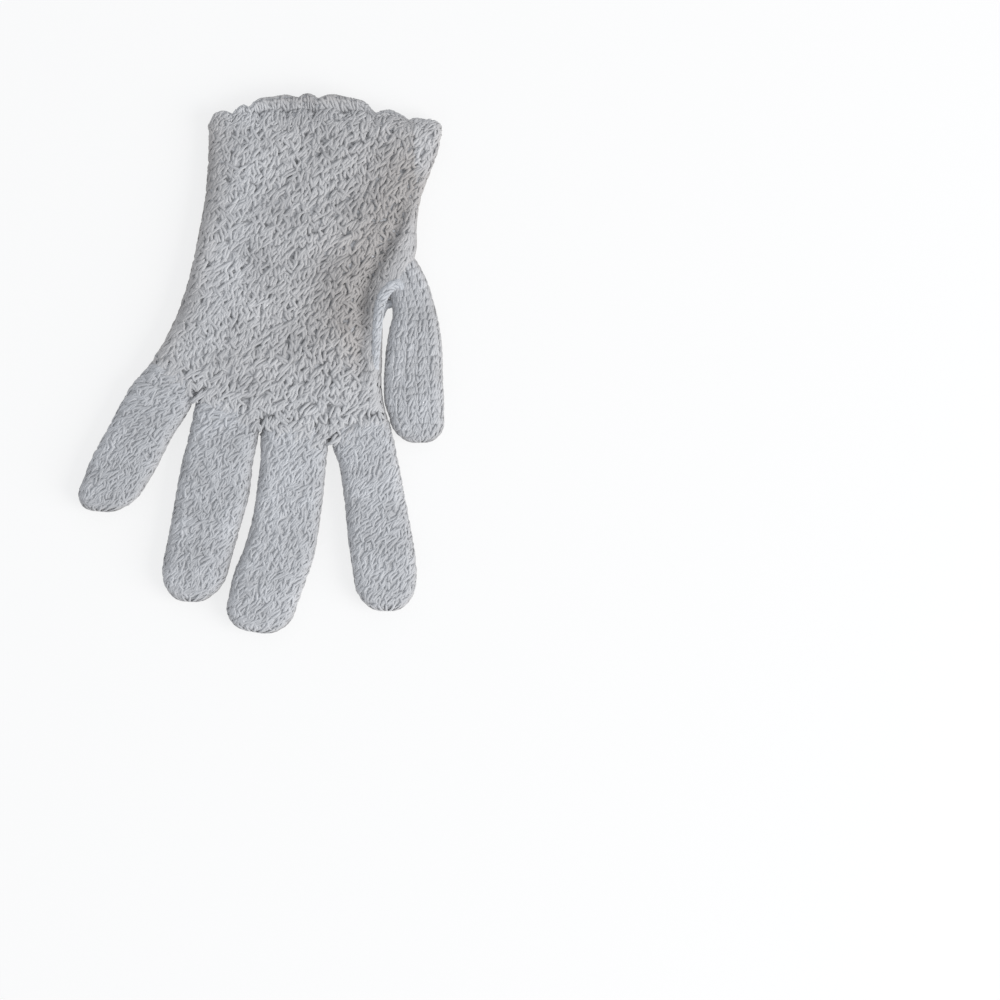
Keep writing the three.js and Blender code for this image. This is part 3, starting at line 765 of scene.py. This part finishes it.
def inside_digit(name, x, y, margin):
    """True at least a margin inside the side edges of a digit, seen from above."""
    rows = np.array(DIGITS[name]["rows"])[::-1]
    level = y - TABLE_TO_FRAME[1]
    left = np.interp(level, rows[:, 1], rows[:, 0]) + TABLE_TO_FRAME[0]
    right = np.interp(level, rows[:, 3], rows[:, 2]) + TABLE_TO_FRAME[0]
    return (x > left + margin) & (x < right - margin)


ROOT_OVERLAP = 4.5      # the hand's stitches run this far on over each digit, mm


def on_palm(x, y):
    """True on the hand's side of every root line, and a little beyond it on a digit."""
    good = np.ones(np.shape(x), bool)
    ragged_end = ROOT_OVERLAP * (0.5 + 0.6 * np.sin(0.9 * x + 0.4 * y))
    for name in DIGITS:
        beyond = side_of(DIGITS[name]["root"], x, y)
        past = in_thumb(x, y) if name == "thumb" else beyond > 0.2
        good &= ~past | ((beyond < ragged_end) & inside_digit(name, x, y, 1.5))
    return good


# %% [markdown]
# ## Shells on the hand
#
# Nineteen shells go round the hand. For the stitches alone the hand's tube is carried on
# straight past the finger roots and a little past the cuff, so that the shells run over
# both joins without a gap. They end raggedly on the fingers, so that no line shows there.
# The relief has a rule of its own: the real glove is puffed up beside the palm's fold and
# nearly smooth at the upper left, along the right edge and at the finger roots. The mesh is
# split into four pieces so that none grows too heavy. On the thumb's side of the fold the
# shells stop: there the glove has plain ribs.

# %% The hand's shells
HAND_AROUND = 19
HAND_ROW_HEIGHT = 8.1
HAND_SLOPE = 5.0        # rows come down this far from left edge to middle, and to the right edge
long_rows = [(-23.6, 106.0, 78.6, 106.0, 9.5, 0.930, 0.0)] + HAND_ROWS[:10] + [
    (-46.5, -9.0, 50.8, -9.0, 10.8, 0.900, 0.6),
    (-46.5, -18.0, 52.0, -18.0, 10.5, 0.890, 0.3),
    (-46.0, -27.0, 54.5, -27.0, 10.3, 0.870, 0.0),
    (-46.0, -38.0, 55.5, -38.0, 10.3, 0.850, 0.0),
]
long_sections = [[*row, 0.0] for row in smooth_rows(long_rows, ROW_PARTS)]
stitch_skin = Skin([section_ring(row) for row in long_sections])
CUFF_LINE = 98.6        # where the edging starts along +Y, before the frame's shift, mm
section_y = np.array([(row[1] + row[3]) / 2 for row in long_sections])[::-1]
section_fold = np.array([row[5] for row in long_sections])[::-1]
section_width = np.array([row[2] - row[0] for row in long_sections])[::-1]


def rib_zone(x, y, u):
    """True on the plain strip between the palm's fold and the thumb's side edge."""
    level = y - TABLE_TO_FRAME[1]
    fold_at = np.interp(level, section_y, section_fold)
    width = np.interp(level, section_y, section_width)
    return (2 * u > fold_at + 2.0 / width) & (u < 0.54) & (level < 66) & (level > -22)


# the shells' upper end from the cuff's line: under the edging, at its corners, at the back, mm
UNDER_EDGING, AT_CORNER, AT_BACK = 0.6, -2.6, -2.4
CORNER_WIDTH = 5.0


def keep_hand(x, y, u):
    """True where the shells go: up to the edging, and not so far up at its two corners and
    on the underside, where the edging curls away from the table."""
    from_corner = np.minimum(x - HAND_ROWS[0][0], HAND_ROWS[0][2] - x)
    nearness = np.clip(1 - from_corner / CORNER_WIDTH, 0, 1)
    upper_end = UNDER_EDGING - (UNDER_EDGING - AT_CORNER) * nearness
    upper_end = CUFF_LINE + np.where(u > 0.5, np.minimum(upper_end, AT_BACK), upper_end)
    return on_palm(x, y) & ~rib_zone(x, y, u) & (y - TABLE_TO_FRAME[1] < upper_end)


def hand_relief(x, y):
    """The shells stand out most beside the palm's fold, least at the upper left, along the
    right edge and towards the finger roots."""
    table = np.array(HAND_ROWS)[::-1]
    from_right = np.interp(y, table[:, 3], table[:, 2]) - x
    past_roots = np.max([side_of(DIGITS[name]["root"], x, y) for name in FINGERS], axis=0)
    right_edge = 1 - 0.5 * np.exp(-((from_right / 10.0) ** 2))
    near_roots = 1 - 0.42 * np.clip((past_roots + 5) / 8, 0, 1)
    to_fold = 0.57 * np.clip((x + 30) / 75, 0, 1)
    to_fingers = 0.1 * np.clip((60 - y) / 60, 0, 1)
    return right_edge * near_roots * (0.25 + to_fold + to_fingers)


hand_bundle = lay(stitch_skin, shell, HAND_AROUND, HAND_ROW_HEIGHT, keep_hand,
                  start=-6.0, slope=HAND_SLOPE, relief=hand_relief, thickness=1.32, dip=0.36,
                  wobble=0.3, twirl=0.5, curl=1.0)

FRONT_FROM = 5.2        # the front layer begins at this height, mm
WRIST_FROM = 40.0       # the wrist begins here along +Y, mm
front = hand_bundle[3][:, 2] > FRONT_FROM
wrist = hand_bundle[3][:, 1] > WRIST_FROM
hand_parts = {
    "wrist_shells_front": front & wrist, "palm_shells_front": front & ~wrist,
    "wrist_shells_back": ~front & wrist, "palm_shells_back": ~front & ~wrist,
}
yarn = {}
for name, chosen in hand_parts.items():
    yarn[name] = yarn_object(name, [[values[chosen] for values in hand_bundle]])

# %% [markdown]
# ## Shells on the fingers
#
# A finger takes seven or eight shells round it, in lower relief and of thinner lengths than
# beside the palm's fold, so that the fingers look finer than the hand. They start inside the
# hand, a little before the root line where the finger was picked up, so that the stitches of
# the two tubes mix there, and run over the tip.

# %% The fingers' shells
FINGER_ROW_HEIGHT = 7.6
# shells round the finger, turn of the shells against the finger's width in degrees
FINGER_STITCHES = {
    "little_finger": (7, -8), "ring_finger": (8, -6), "middle_finger": (8, 0), "index_finger": (7, -8),
}
for name, (around, degrees) in FINGER_STITCHES.items():
    root = DIGITS[name]["root"]
    bundle = lay(skins[name], shell, around, FINGER_ROW_HEIGHT,
                 lambda x, y, u: side_of(root, x, y) > -ROOT_OVERLAP,
                 slope=1.2, turn=math.radians(degrees), relief=0.42, wobble=0.26, thickness=1.15, dip=0.3)
    piece = name + "_shells"
    yarn[piece] = yarn_object(piece, [bundle])

# %% [markdown]
# ## Plain ribs
#
# The thumb and the strip beside the palm's fold are worked plain: columns of V stitches,
# with a shallow groove between one column and the next. The leg of a V that leans to the
# right is three strands and lies on top, the other leg is two, and one more lies deep in
# the groove.

# %% Draw one rib stitch and lay the ribs
RIB_HEIGHT = 2.6        # of one V, mm
THUMB_AROUND = 12       # columns round the thumb
PALM_AROUND = 42        # columns there would be round the whole hand
IN_COLUMNS = dict(step_in=0.0, middle=(2.6, 1.5))   # each V stands right above the last one


def rib_drawing():
    """The lengths of yarn of one V, in mm across, along and up."""
    legs = []
    for n in range(3):
        foot = (2.0 + 0.9 * n, -0.5 + 0.1 * n)
        legs.append(strand(foot, (3.5 + 0.85 * n, 3.3), -0.15, 0.25, 0.7 - 0.05 * n))
    for n in range(2):
        legs.append(strand((0.4 + 0.8 * n, 3.2), (0.9 + 0.7 * n, -0.2), -0.15, 0.2, 0.56))
    legs.append(strand((4.7, -0.5), (5.3, 3.0), 0.0, 0.15, 0.35))
    return np.array(legs)


rib = rib_drawing()
thumb_root = DIGITS["thumb"]["root"]
thumb_ribs = lay(skins["thumb"], rib, THUMB_AROUND, RIB_HEIGHT,
                 lambda x, y, u: side_of(thumb_root, x, y) > -2 * ROOT_OVERLAP,
                 wobble=0.22, curl=0.2, stagger=0.35, twirl=0.2, relief=0.46, thickness=1.2,
                 dip=0.1, **IN_COLUMNS)
yarn["thumb_ribs"] = yarn_object("thumb_ribs", [thumb_ribs])
side_ribs = lay(stitch_skin, rib, PALM_AROUND, RIB_HEIGHT,
                lambda x, y, u: on_palm(x, y) & rib_zone(x, y, u),
                wobble=0.25, curl=0.4, stagger=0.5, relief=0.2, thickness=1.4, **IN_COLUMNS)
yarn["side_ribs"] = yarn_object("side_ribs", [side_ribs])

# %% [markdown]
# ## The fold over the thumb's corner
#
# Where the thumb leaves the hand the cloth bulges in a round ridge, from the plain strip over
# to the thumb, with a small web deeper down under it. Both are short tubes of their own, made
# along a bent line, and they take the same plain ribs.

# %% Ridge and web
# along the bent line: x, y, height of the middle, half width, half height
RIDGE = [
    (48.0, -6.0, 6.6, 1.6, 2.0), (48.1, 4.0, 8.2, 2.2, 2.6), (48.7, 16.5, 8.6, 2.6, 2.7),
    (50.0, 25.7, 8.8, 2.8, 2.8), (53.2, 31.8, 8.9, 3.1, 2.8), (57.6, 33.4, 8.5, 2.9, 2.8),
    (61.5, 29.6, 7.6, 2.5, 2.7), (63.8, 23.4, 6.8, 2.1, 2.5), (65.0, 15.5, 5.2, 1.5, 2.0),
]
WEB = [
    (50.4, 18.5, 3.8, 1.4, 2.0), (51.2, 23.4, 4.0, 1.9, 2.4), (54.0, 25.8, 4.1, 2.1, 2.5),
    (56.8, 24.0, 4.0, 1.9, 2.4), (58.4, 18.5, 3.8, 1.4, 2.0),
]


def bent_tube(line, parts):
    """Rings round a bent line: left edge, over the top, right edge, back underneath."""
    line = smooth_rows(line, parts)
    heading = np.gradient(line[:, :2], axis=0)
    heading /= np.linalg.norm(heading, axis=1, keepdims=True)
    angle = np.linspace(0, 2 * math.pi, 48, endpoint=False)
    rings = np.zeros((len(line), len(angle), 3))
    rings[..., 0] = line[:, :1] + np.cos(angle) * line[:, 3:4] * heading[:, 1:]
    rings[..., 1] = line[:, 1:2] - np.cos(angle) * line[:, 3:4] * heading[:, :1]
    rings[..., 2] = line[:, 2:3] + np.sin(angle) * line[:, 4:5]
    return rings


fold_bundles = []
corner_ground = []
for label, line in (("thumb_ridge", RIDGE), ("thumb_web", WEB)):
    fold_skin = Skin(bent_tube(line, 4))
    corner_ground.append(ground_tube(label + "_ground", fold_skin))
    fold_bundles.append(lay(fold_skin, rib, 3, RIB_HEIGHT + 0.4, lambda x, y, u: u < 2, wobble=0.22,
                            curl=0.25, relief=0.3, thickness=1.3, dip=0.1, **IN_COLUMNS))
# no painted shade or soil on the ridge and the web, so the raised ridge stays light
yarn["thumb_corner"] = yarn_object("thumb_corner", fold_bundles, shade_and_soil_share=0.0)

# %% [markdown]
# ## Drawn tips
#
# At the tip of a digit the last round was drawn together: a star of lengths meets in one
# point. They follow lines on the digit's own map.

# %% Lengths along lines on a map
def lay_lines(skin, u, run, height):
    """Bundle of lengths that follow lines given on the map as (length, point) tables."""
    points = skin.place(u, run, height)
    outward = skin.place(u, run, height + 1.0) - points
    tangent = unit(np.gradient(points, axis=1))
    lateral = unit(np.cross(outward, tangent))
    radius = YARN_RADIUS * rng.normal(1, 0.07, len(points))
    corners = ring_corners(points, lateral, np.cross(tangent, lateral), radius)
    return pressed(corners), rng.normal(0, 1, len(points)), height


STAR_LENGTHS = 12
stars = []
t = np.linspace(0, 1, POINTS)
for name in DIGITS:
    at = np.arange(STAR_LENGTHS)[:, None] / STAR_LENGTHS + np.zeros(POINTS)
    far = skins[name].run[-1] - 5.0 * (1 - t) + np.zeros((STAR_LENGTHS, 1))
    arch = 0.2 + 0.4 * np.sin(math.pi * t * 0.8) + np.zeros_like(far)
    stars.append(lay_lines(skins[name], at, far, arch))
yarn["drawn_tips"] = yarn_object("drawn_tips", stars)

# %% [markdown]
# ## The scalloped edging
#
# Each scallop is a fan of strands, four short tiers of them. The back layer reaches further
# than the front one, so that its inner side shows above the front scallops and needs
# stitches too, and a soft corded loop closes its rim. Some notches are deep and some hardly
# show, as on the real cuff. The map of the rim is made scallop by scallop, which lets one
# fan fit narrow and wide scallops alike, with fewer strands on the narrow ones.

# %% The map of the rim
CUFF_HEIGHT = 9.5
# depth of the notch at the start of each scallop and at the end of the last one, mm
FRONT_NOTCHES = [0.6, 2.4, 3.2, 3.2, 3.2, 3.2, 3.2, 2.6, 0.6]
BACK_NOTCHES = [0.5, 2.3, 2.2, 0.2, 1.8, 1.9, 0.2, 3.4, 2.0, 0.5]
CORNER_REACH = 6.5      # at the two corners the rim comes down over this width, mm
LEFT_DROP, RIGHT_DROP = 5.5, 2.4
LOBE_COLUMNS = 12       # columns of points on a scallop, however wide it is
RIM_LEVELS = 8          # points from the base of the edging to its rim
RIM_DROOP = 2.6         # the front scallops bend down this far, mm
RIM_LIFT = 7.2          # the back scallops curl up this far, mm
FLAT_REACH = 12.0       # towards the side edges they bend less and less, from here on, mm
CUFF_ROW = HAND_ROWS[0]


def rim_edge(rim, lobe, part, notches, narrow):
    """Height along +Y of the scalloped edge at a part (0 to 1) of one scallop; the smaller
    narrow is, the narrower are the notches."""
    here = rim[lobe][1]
    neighbour = rim[max(lobe - 1, 0)][1] if part < 0.5 else rim[min(lobe + 1, len(rim) - 1)][1]
    at_notch = (neighbour + here) / 2
    top = at_notch + (here - at_notch) * (1 - abs(2 * part - 1))
    notch = notches[lobe] if part < 0.5 else notches[lobe + 1]
    return top - notch * (1 - math.sin(math.pi * min(part, 1)) ** narrow)


def rim_column(share, front, edge_y):
    """Points from the base of the edging to its scalloped edge."""
    left_x, left_y, right_x, right_y = CUFF_ROW[:4]
    width = right_x - left_x
    middle = CUFF_HEIGHT / 2
    from_edge = min(share, 1 - share) * width
    bend = float(half_round(from_edge, middle))
    crown = 1 - (2 * share - 1) ** 2
    top = middle + middle * ((1 - CROWN_SHARE) * bend + CROWN_SHARE * crown)
    corner = max(0.0, 1 - from_edge / CORNER_REACH)
    edge_y -= (LEFT_DROP if share < 0.5 else RIGHT_DROP) * corner**2
    base_y = left_y + (right_y - left_y) * share
    levels = np.linspace(0, 1, RIM_LEVELS)
    away = np.clip(from_edge / FLAT_REACH, 0, 1)
    if front:
        z = top - RIM_DROOP * away * levels**2
    else:
        z = middle - middle * bend + RIM_LIFT * away * levels**0.8
    return np.stack([np.full(RIM_LEVELS, left_x + width * share),
                     base_y + (edge_y - base_y) * levels, z], 1)


def rim_rings():
    """The rings of the edging, from the scalloped edge down to the base."""
    columns = []
    layers = ((FRONT_RIM, FRONT_NOTCHES, 0.45, True), (BACK_RIM, BACK_NOTCHES, 0.8, False))
    for rim, notches, narrow, front in layers:
        for lobe in (range(len(rim)) if front else reversed(range(len(rim)))):
            start = rim[lobe - 1][0] if lobe else 0.0
            for k in range(LOBE_COLUMNS):
                part = k / LOBE_COLUMNS if front else 1 - k / LOBE_COLUMNS
                share = start + (rim[lobe][0] - start) * part
                edge_y = rim_edge(rim, lobe, part, notches, narrow)
                columns.append(rim_column(share, front, edge_y))
    return np.array(columns).transpose(1, 0, 2)[::-1]


class RimSkin(Skin):
    """The skin of the edging; its run goes from the scalloped edge down to the base."""

    def __init__(self, rings):
        super().__init__(rings)
        self.run = np.linspace(0, 1, len(rings))


rim = RimSkin(rim_rings())
LOBES = len(FRONT_RIM) + len(BACK_RIM)
lobe_shares = [np.diff([0.0] + [end for end, top in table]) for table in (FRONT_RIM, BACK_RIM)]
LOBE_WIDTHS = np.concatenate([lobe_shares[0], lobe_shares[1][::-1]]) * (CUFF_ROW[2] - CUFF_ROW[0])
print("scallops round the cuff:", LOBES)

# %% Ground of the edging
rim_inner = rim.points - rim.normals * YARN_DEPTH
front_columns = np.arange(rim_inner.shape[1]) < len(FRONT_RIM) * LOBE_COLUMNS
# the ground stops short of the rim, and at its base it goes on a little under the hand's shells
rim_share = np.where(front_columns, 0.45, 0.7)[:, None]
rim_inner[0] = rim_inner[0] * rim_share + rim_inner[1] * (1 - rim_share)
rim_inner = np.concatenate([rim_inner, rim_inner[-1:] - np.array([0, 1.2, 0])])
ground["scalloped_edging"] = with_wall(rolled_tube("edging_ground", rim_inner, False))


# %% Fans and corded rim
FAN_TIERS = (-0.12, 0.12, 0.36, 0.58)   # where each tier starts, as a share of the reach
TIER_STRANDS = 12
CORD_LENGTHS = 7        # of each of the two cords along the rim of a scallop
DRAWN_FAN = np.array([12.5, 9.5, 1.0])  # width and reach that the fan is drawn for, mm


def fan_paths():
    """One scallop in shares of its width (x) and of its reach (y), heights in mm."""
    posts, cords = [], []
    for low in FAN_TIERS:
        for k in range(TIER_STRANDS):
            swing = 2 * k / (TIER_STRANDS - 1) - 1
            foot = (0.47 + 0.47 * swing, low + 0.08 * (k % 2))
            top = (0.56 + 0.46 * swing, low + 0.34)
            posts.append(strand(foot, top, 0.0, 0.15, 0.34))
    for k in range(CORD_LENGTHS):
        a = k / CORD_LENGTHS
        cords.append(strand((a - 0.03, 0.84), (a + 0.15, 0.9), 0.0, 0.15, 0.3))
        cords.append(strand((a - 0.02, 0.965), (a + 0.17, 0.985), 0.0, -0.4, -0.25))
    return np.array(posts), np.array(cords)


def lay_fans(drawing, lobes, inner_side, wobble):
    """Fans on the given scallops, on the outer or the inner side of the cloth."""
    paths = drawing[None] + np.array([1.0, 0, 0]) * lobes[:, None, None, None]
    paths = paths.reshape(-1, *drawing.shape[1:])
    # the narrower a scallop, the more of its strands are left out
    room = np.repeat(LOBE_WIDTHS[lobes] / DRAWN_FAN[0], len(drawing))
    flat = (paths * DRAWN_FAN)[rng.random(len(paths)) < 1.1 * room]
    t = np.linspace(-1, 1, POINTS)
    flat[..., :2] += rng.normal(0, wobble, (len(flat), 1, 2))
    flat[..., :2] += rng.normal(0, 2 * wobble, (len(flat), 1, 2)) * t[:, None]
    flat[..., 0] += rng.normal(0, 1.5 * wobble, (len(flat), 1)) * (1 - t**2)
    flat[..., 2] *= rng.normal(1, 0.16, (len(flat), 1))
    corners = tube_corners(flat, 1.2 * YARN_RADIUS * rng.normal(1.0, 0.05, len(flat)))
    u = corners[..., 0] / DRAWN_FAN[0] / LOBES
    run = 1 - corners[..., 1] / DRAWN_FAN[1]
    height = -GROUND_WALL - corners[..., 2] if inner_side else corners[..., 2]
    laid = rim.place(u, np.clip(run, 0, 1), height)
    laid[..., 1] -= np.clip(run - 1, 0, None) * DRAWN_FAN[1]
    # heights run the other way on the inner side, so the corners are turned to face outwards
    if inner_side:
        laid = laid[:, :, ::-1]
    return pressed(laid), rng.normal(0, 1, len(flat)), flat[..., 2]


fan_posts, fan_cords = fan_paths()
all_lobes = np.arange(LOBES)
back_lobes = all_lobes[len(FRONT_RIM):]
edging_bundles = [
    lay_fans(fan_posts, all_lobes, False, 0.4), lay_fans(fan_cords, back_lobes, False, 0.1),
    lay_fans(fan_posts, back_lobes, True, 0.4), lay_fans(fan_cords, back_lobes, True, 0.1),
]
yarn["edging_scallops"] = yarn_object("edging_scallops", edging_bundles)

# %% [markdown]
# ## Cotton
#
# The yarn is smooth, lustrous cotton: white, seen in soft shade, so it reads as a cool light grey.
# Its twist is a diagonal wave along the yarn's own UV map. The lengths differ a little in tone at
# random, shell by shell, and yarn that dips between its neighbours is darker, as painted shade.
# Some parts are tinted a little browner and darker: the palm's fold, as soil and painted shade, and
# its hollow, the cuff's rim and the side edges, as painted shade. A fine fuzz in the bump takes the
# shine off the yarn. The digits are a little cooler in tone. The ground is darker than the yarn, as
# painted shade deep between the stitches, with dark spots as painted shadow into the glove. The
# ground of the digits and the edging is lighter, since they are worked closer and hardly a slit is
# open there.

# %% The cotton finish
# the tint of the painted shade and soil: darker and a little browner
SHADE_AND_SOIL_TINT = (0.72, 0.68, 0.645)


def node(tree, kind, inputs, **settings):
    """A new node; an input is given a value, or another node's output to be linked to it."""
    made = tree.nodes.new("ShaderNode" + kind)
    for setting, value in settings.items():
        setattr(made, setting, value)
    for place, value in inputs.items():
        if isinstance(value, bpy.types.NodeSocket):
            tree.links.new(value, made.inputs[place])
        else:
            made.inputs[place].default_value = value
    return made


def noise(tree, place, scale, detail):
    """Noise of a scale and detail over the object's own coordinates."""
    inputs = {"Vector": place, "Scale": scale, "Detail": detail}
    return node(tree, "TexNoise", inputs).outputs["Fac"]


def marked(tree, label):
    """What yarn_object wrote on the points under this label."""
    return node(tree, "Attribute", {}, attribute_name=label).outputs["Fac"]


def times_plus(tree, value, factor, more):
    """A value times a factor plus something more."""
    return node(tree, "Math", {0: value, 1: factor, 2: more}, operation="MULTIPLY_ADD").outputs[0]


def cotton(name, light, dark, with_twist):
    """A cotton material from a light and a dark linear colour."""
    material = bpy.data.materials.new(name)
    material.use_nodes = True
    tree = material.node_tree
    shader = tree.nodes["Principled BSDF"]
    shader.inputs["Roughness"].default_value = 0.62
    shader.inputs["Specular IOR Level"].default_value = 0.35
    shader.inputs["Sheen Weight"].default_value = 0.25
    shader.inputs["Sheen Roughness"].default_value = 0.4
    place = node(tree, "TexCoord", {}).outputs["Object"]
    if with_twist:
        cloud = times_plus(tree, noise(tree, place, 60.0, 3.0), 1.5, -0.15)
        # painted shade: yarn that dips low between its neighbours is darker
        dip_shade = times_plus(tree, marked(tree, "loft"), 0.25, -0.12)
        varied = times_plus(tree, marked(tree, "length_shade"), 0.08, dip_shade)
        level = node(tree, "Math", {0: varied, 1: cloud}, operation="ADD", use_clamp=True).outputs[0]
        along_yarn = node(tree, "UVMap", {}, uv_map="yarn").outputs["UV"]
        twist = node(tree, "TexWave", {"Vector": along_yarn, "Scale": 1.0, "Distortion": 0.6},
                     bands_direction="DIAGONAL").outputs["Fac"]
        relief = times_plus(tree, noise(tree, place, 2200.0, 2.0), 2.0, twist)
    else:
        # dark spots in the ground: painted shadow deep in the cloth, where one would look into the glove
        level = times_plus(tree, noise(tree, place, 350.0, 3.0), 3.4, -1.15)
        relief = noise(tree, place, 1500.0, 4.0)
    untinted = node(tree, "Mix", {"Factor": level, "A": (*dark, 1), "B": (*light, 1)}, data_type="RGBA")
    # painted shade and soil pull the colour towards the tint
    painted_shade_and_soil = {"Factor": marked(tree, "painted_shade_and_soil"), "A": untinted.outputs["Result"], "B": (*SHADE_AND_SOIL_TINT, 1)}
    painted_shade_and_soil = node(tree, "Mix", painted_shade_and_soil, data_type="RGBA", blend_type="MULTIPLY")
    bump = node(tree, "Bump", {"Strength": 0.25, "Distance": 0.0001, "Height": relief})
    tree.links.new(painted_shade_and_soil.outputs["Result"], shader.inputs["Base Color"])
    tree.links.new(bump.outputs["Normal"], shader.inputs["Normal"])
    return material


# white cotton, painted a light grey for the soft shade it lies in; the dark tone is mixed in at random
# and, where yarn dips, as painted shade
YARN_LIGHT = (0.64, 0.65, 0.672)
YARN_DARK = (0.45, 0.456, 0.472)
DIGIT_LIGHT = (0.638, 0.658, 0.694)     # the digits are a little cooler in tone
DIGIT_DARK = (0.45, 0.462, 0.484)
# the ground is darker than the yarn: painted shade deep between the stitches
GROUND_LIGHT = (0.52, 0.524, 0.54)
GROUND_SHADOW = (0.11, 0.111, 0.116)      # painted shadow: here and there one looks through into the dark inside of the glove
DENSE_LIGHT = (0.6, 0.607, 0.626)       # ground of the digits and the edging, worked closer
DENSE_DARK = (0.4, 0.405, 0.418)
yarn_cotton = cotton("yarn_cotton", YARN_LIGHT, YARN_DARK, True)
digit_cotton = cotton("digit_yarn_cotton", DIGIT_LIGHT, DIGIT_DARK, True)
ground_cotton = cotton("ground_cotton", GROUND_LIGHT, GROUND_SHADOW, False)
dense_cotton = cotton("dense_ground_cotton", DENSE_LIGHT, DENSE_DARK, False)
finishes = (yarn_cotton, digit_cotton, ground_cotton, dense_cotton)
print("finishes:", ", ".join(finish.name for finish in finishes))

DIGIT_PIECES = [name + "_shells" for name in FINGERS] + ["thumb_ribs", "thumb_corner", "drawn_tips"]
for name, piece in yarn.items():
    piece.data.materials.append(digit_cotton if name in DIGIT_PIECES else yarn_cotton)
for piece in [*ground.values(), *corner_ground]:
    dense = piece is not ground["hand"]
    piece.data.materials.clear()
    piece.data.materials.append(dense_cotton if dense else ground_cotton)

# %% [markdown]
# ## Table and light
#
# The glove lies on a plain pale table that glows, so that the narrow gaps between the
# fingers and beside the thumb stay light. One large soft light stands on the right, which
# leaves the left sides of the fingers a little darker, and the pale surroundings fill the
# grooves. Nothing in the light is sharp.

# %% Floor and lights
bpy.ops.object.select_all(action="DESELECT")
bpy.ops.mesh.primitive_plane_add(size=6, location=(0, 0, -0.0003))
floor = bpy.context.object
floor.name = "floor"
glowing_floor = bpy.data.materials.new("glowing_floor")
glowing_floor.use_nodes = True
floor_shader = glowing_floor.node_tree.nodes["Principled BSDF"]
floor_shader.inputs["Base Color"].default_value = (0.26, 0.26, 0.26, 1)
floor_shader.inputs["Roughness"].default_value = 0.9
# painted light: the floor glows like a light table, so the gaps between the fingers and beside the thumb
# stay light instead of shaded
floor_shader.inputs["Emission Color"].default_value = (1.0, 1.0, 1.0, 1)
floor_shader.inputs["Emission Strength"].default_value = 0.71
floor.data.materials.append(glowing_floor)

world = bpy.data.worlds.new("world")
world.use_nodes = True
world.node_tree.nodes["Background"].inputs["Color"].default_value = (0.93, 0.96, 1.0, 1)
world.node_tree.nodes["Background"].inputs["Strength"].default_value = 0.67
bpy.context.scene.world = world
bpy.context.scene.view_settings.view_transform = "Standard"

# the window stands here, in metres, and is turned to the origin
WINDOW_X, WINDOW_Y, WINDOW_Z = 1.7, -0.6, 1.0
window_light = bpy.data.lights.new("window", "AREA")
window_light.shape = "SQUARE"
window_light.size = 1.5
window_light.energy = 31
window_light.color = (1.0, 0.985, 0.965)
window = bpy.data.objects.new("window", window_light)
window.location = (WINDOW_X, WINDOW_Y, WINDOW_Z)
tilt = math.atan2(math.hypot(WINDOW_X, WINDOW_Y), WINDOW_Z)
window.rotation_euler = (tilt, 0, math.atan2(-WINDOW_Y, -WINDOW_X) - math.pi / 2)
bpy.context.scene.collection.objects.link(window)
print("window to glove, m:", round(math.hypot(WINDOW_X, WINDOW_Y, WINDOW_Z), 2))

# %% [markdown]
# ## Pieces on the body
#
# Every piece rides on the one body of the part and has its material slot, and the CAD meshes
# that the grounds stand in for are hidden.

# %% Ride on the body
for name, piece in ground.items():
    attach(piece, "root")
    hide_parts(name)
for piece in corner_ground:
    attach(piece, "root")
for name, piece in yarn.items():
    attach(piece, "root")
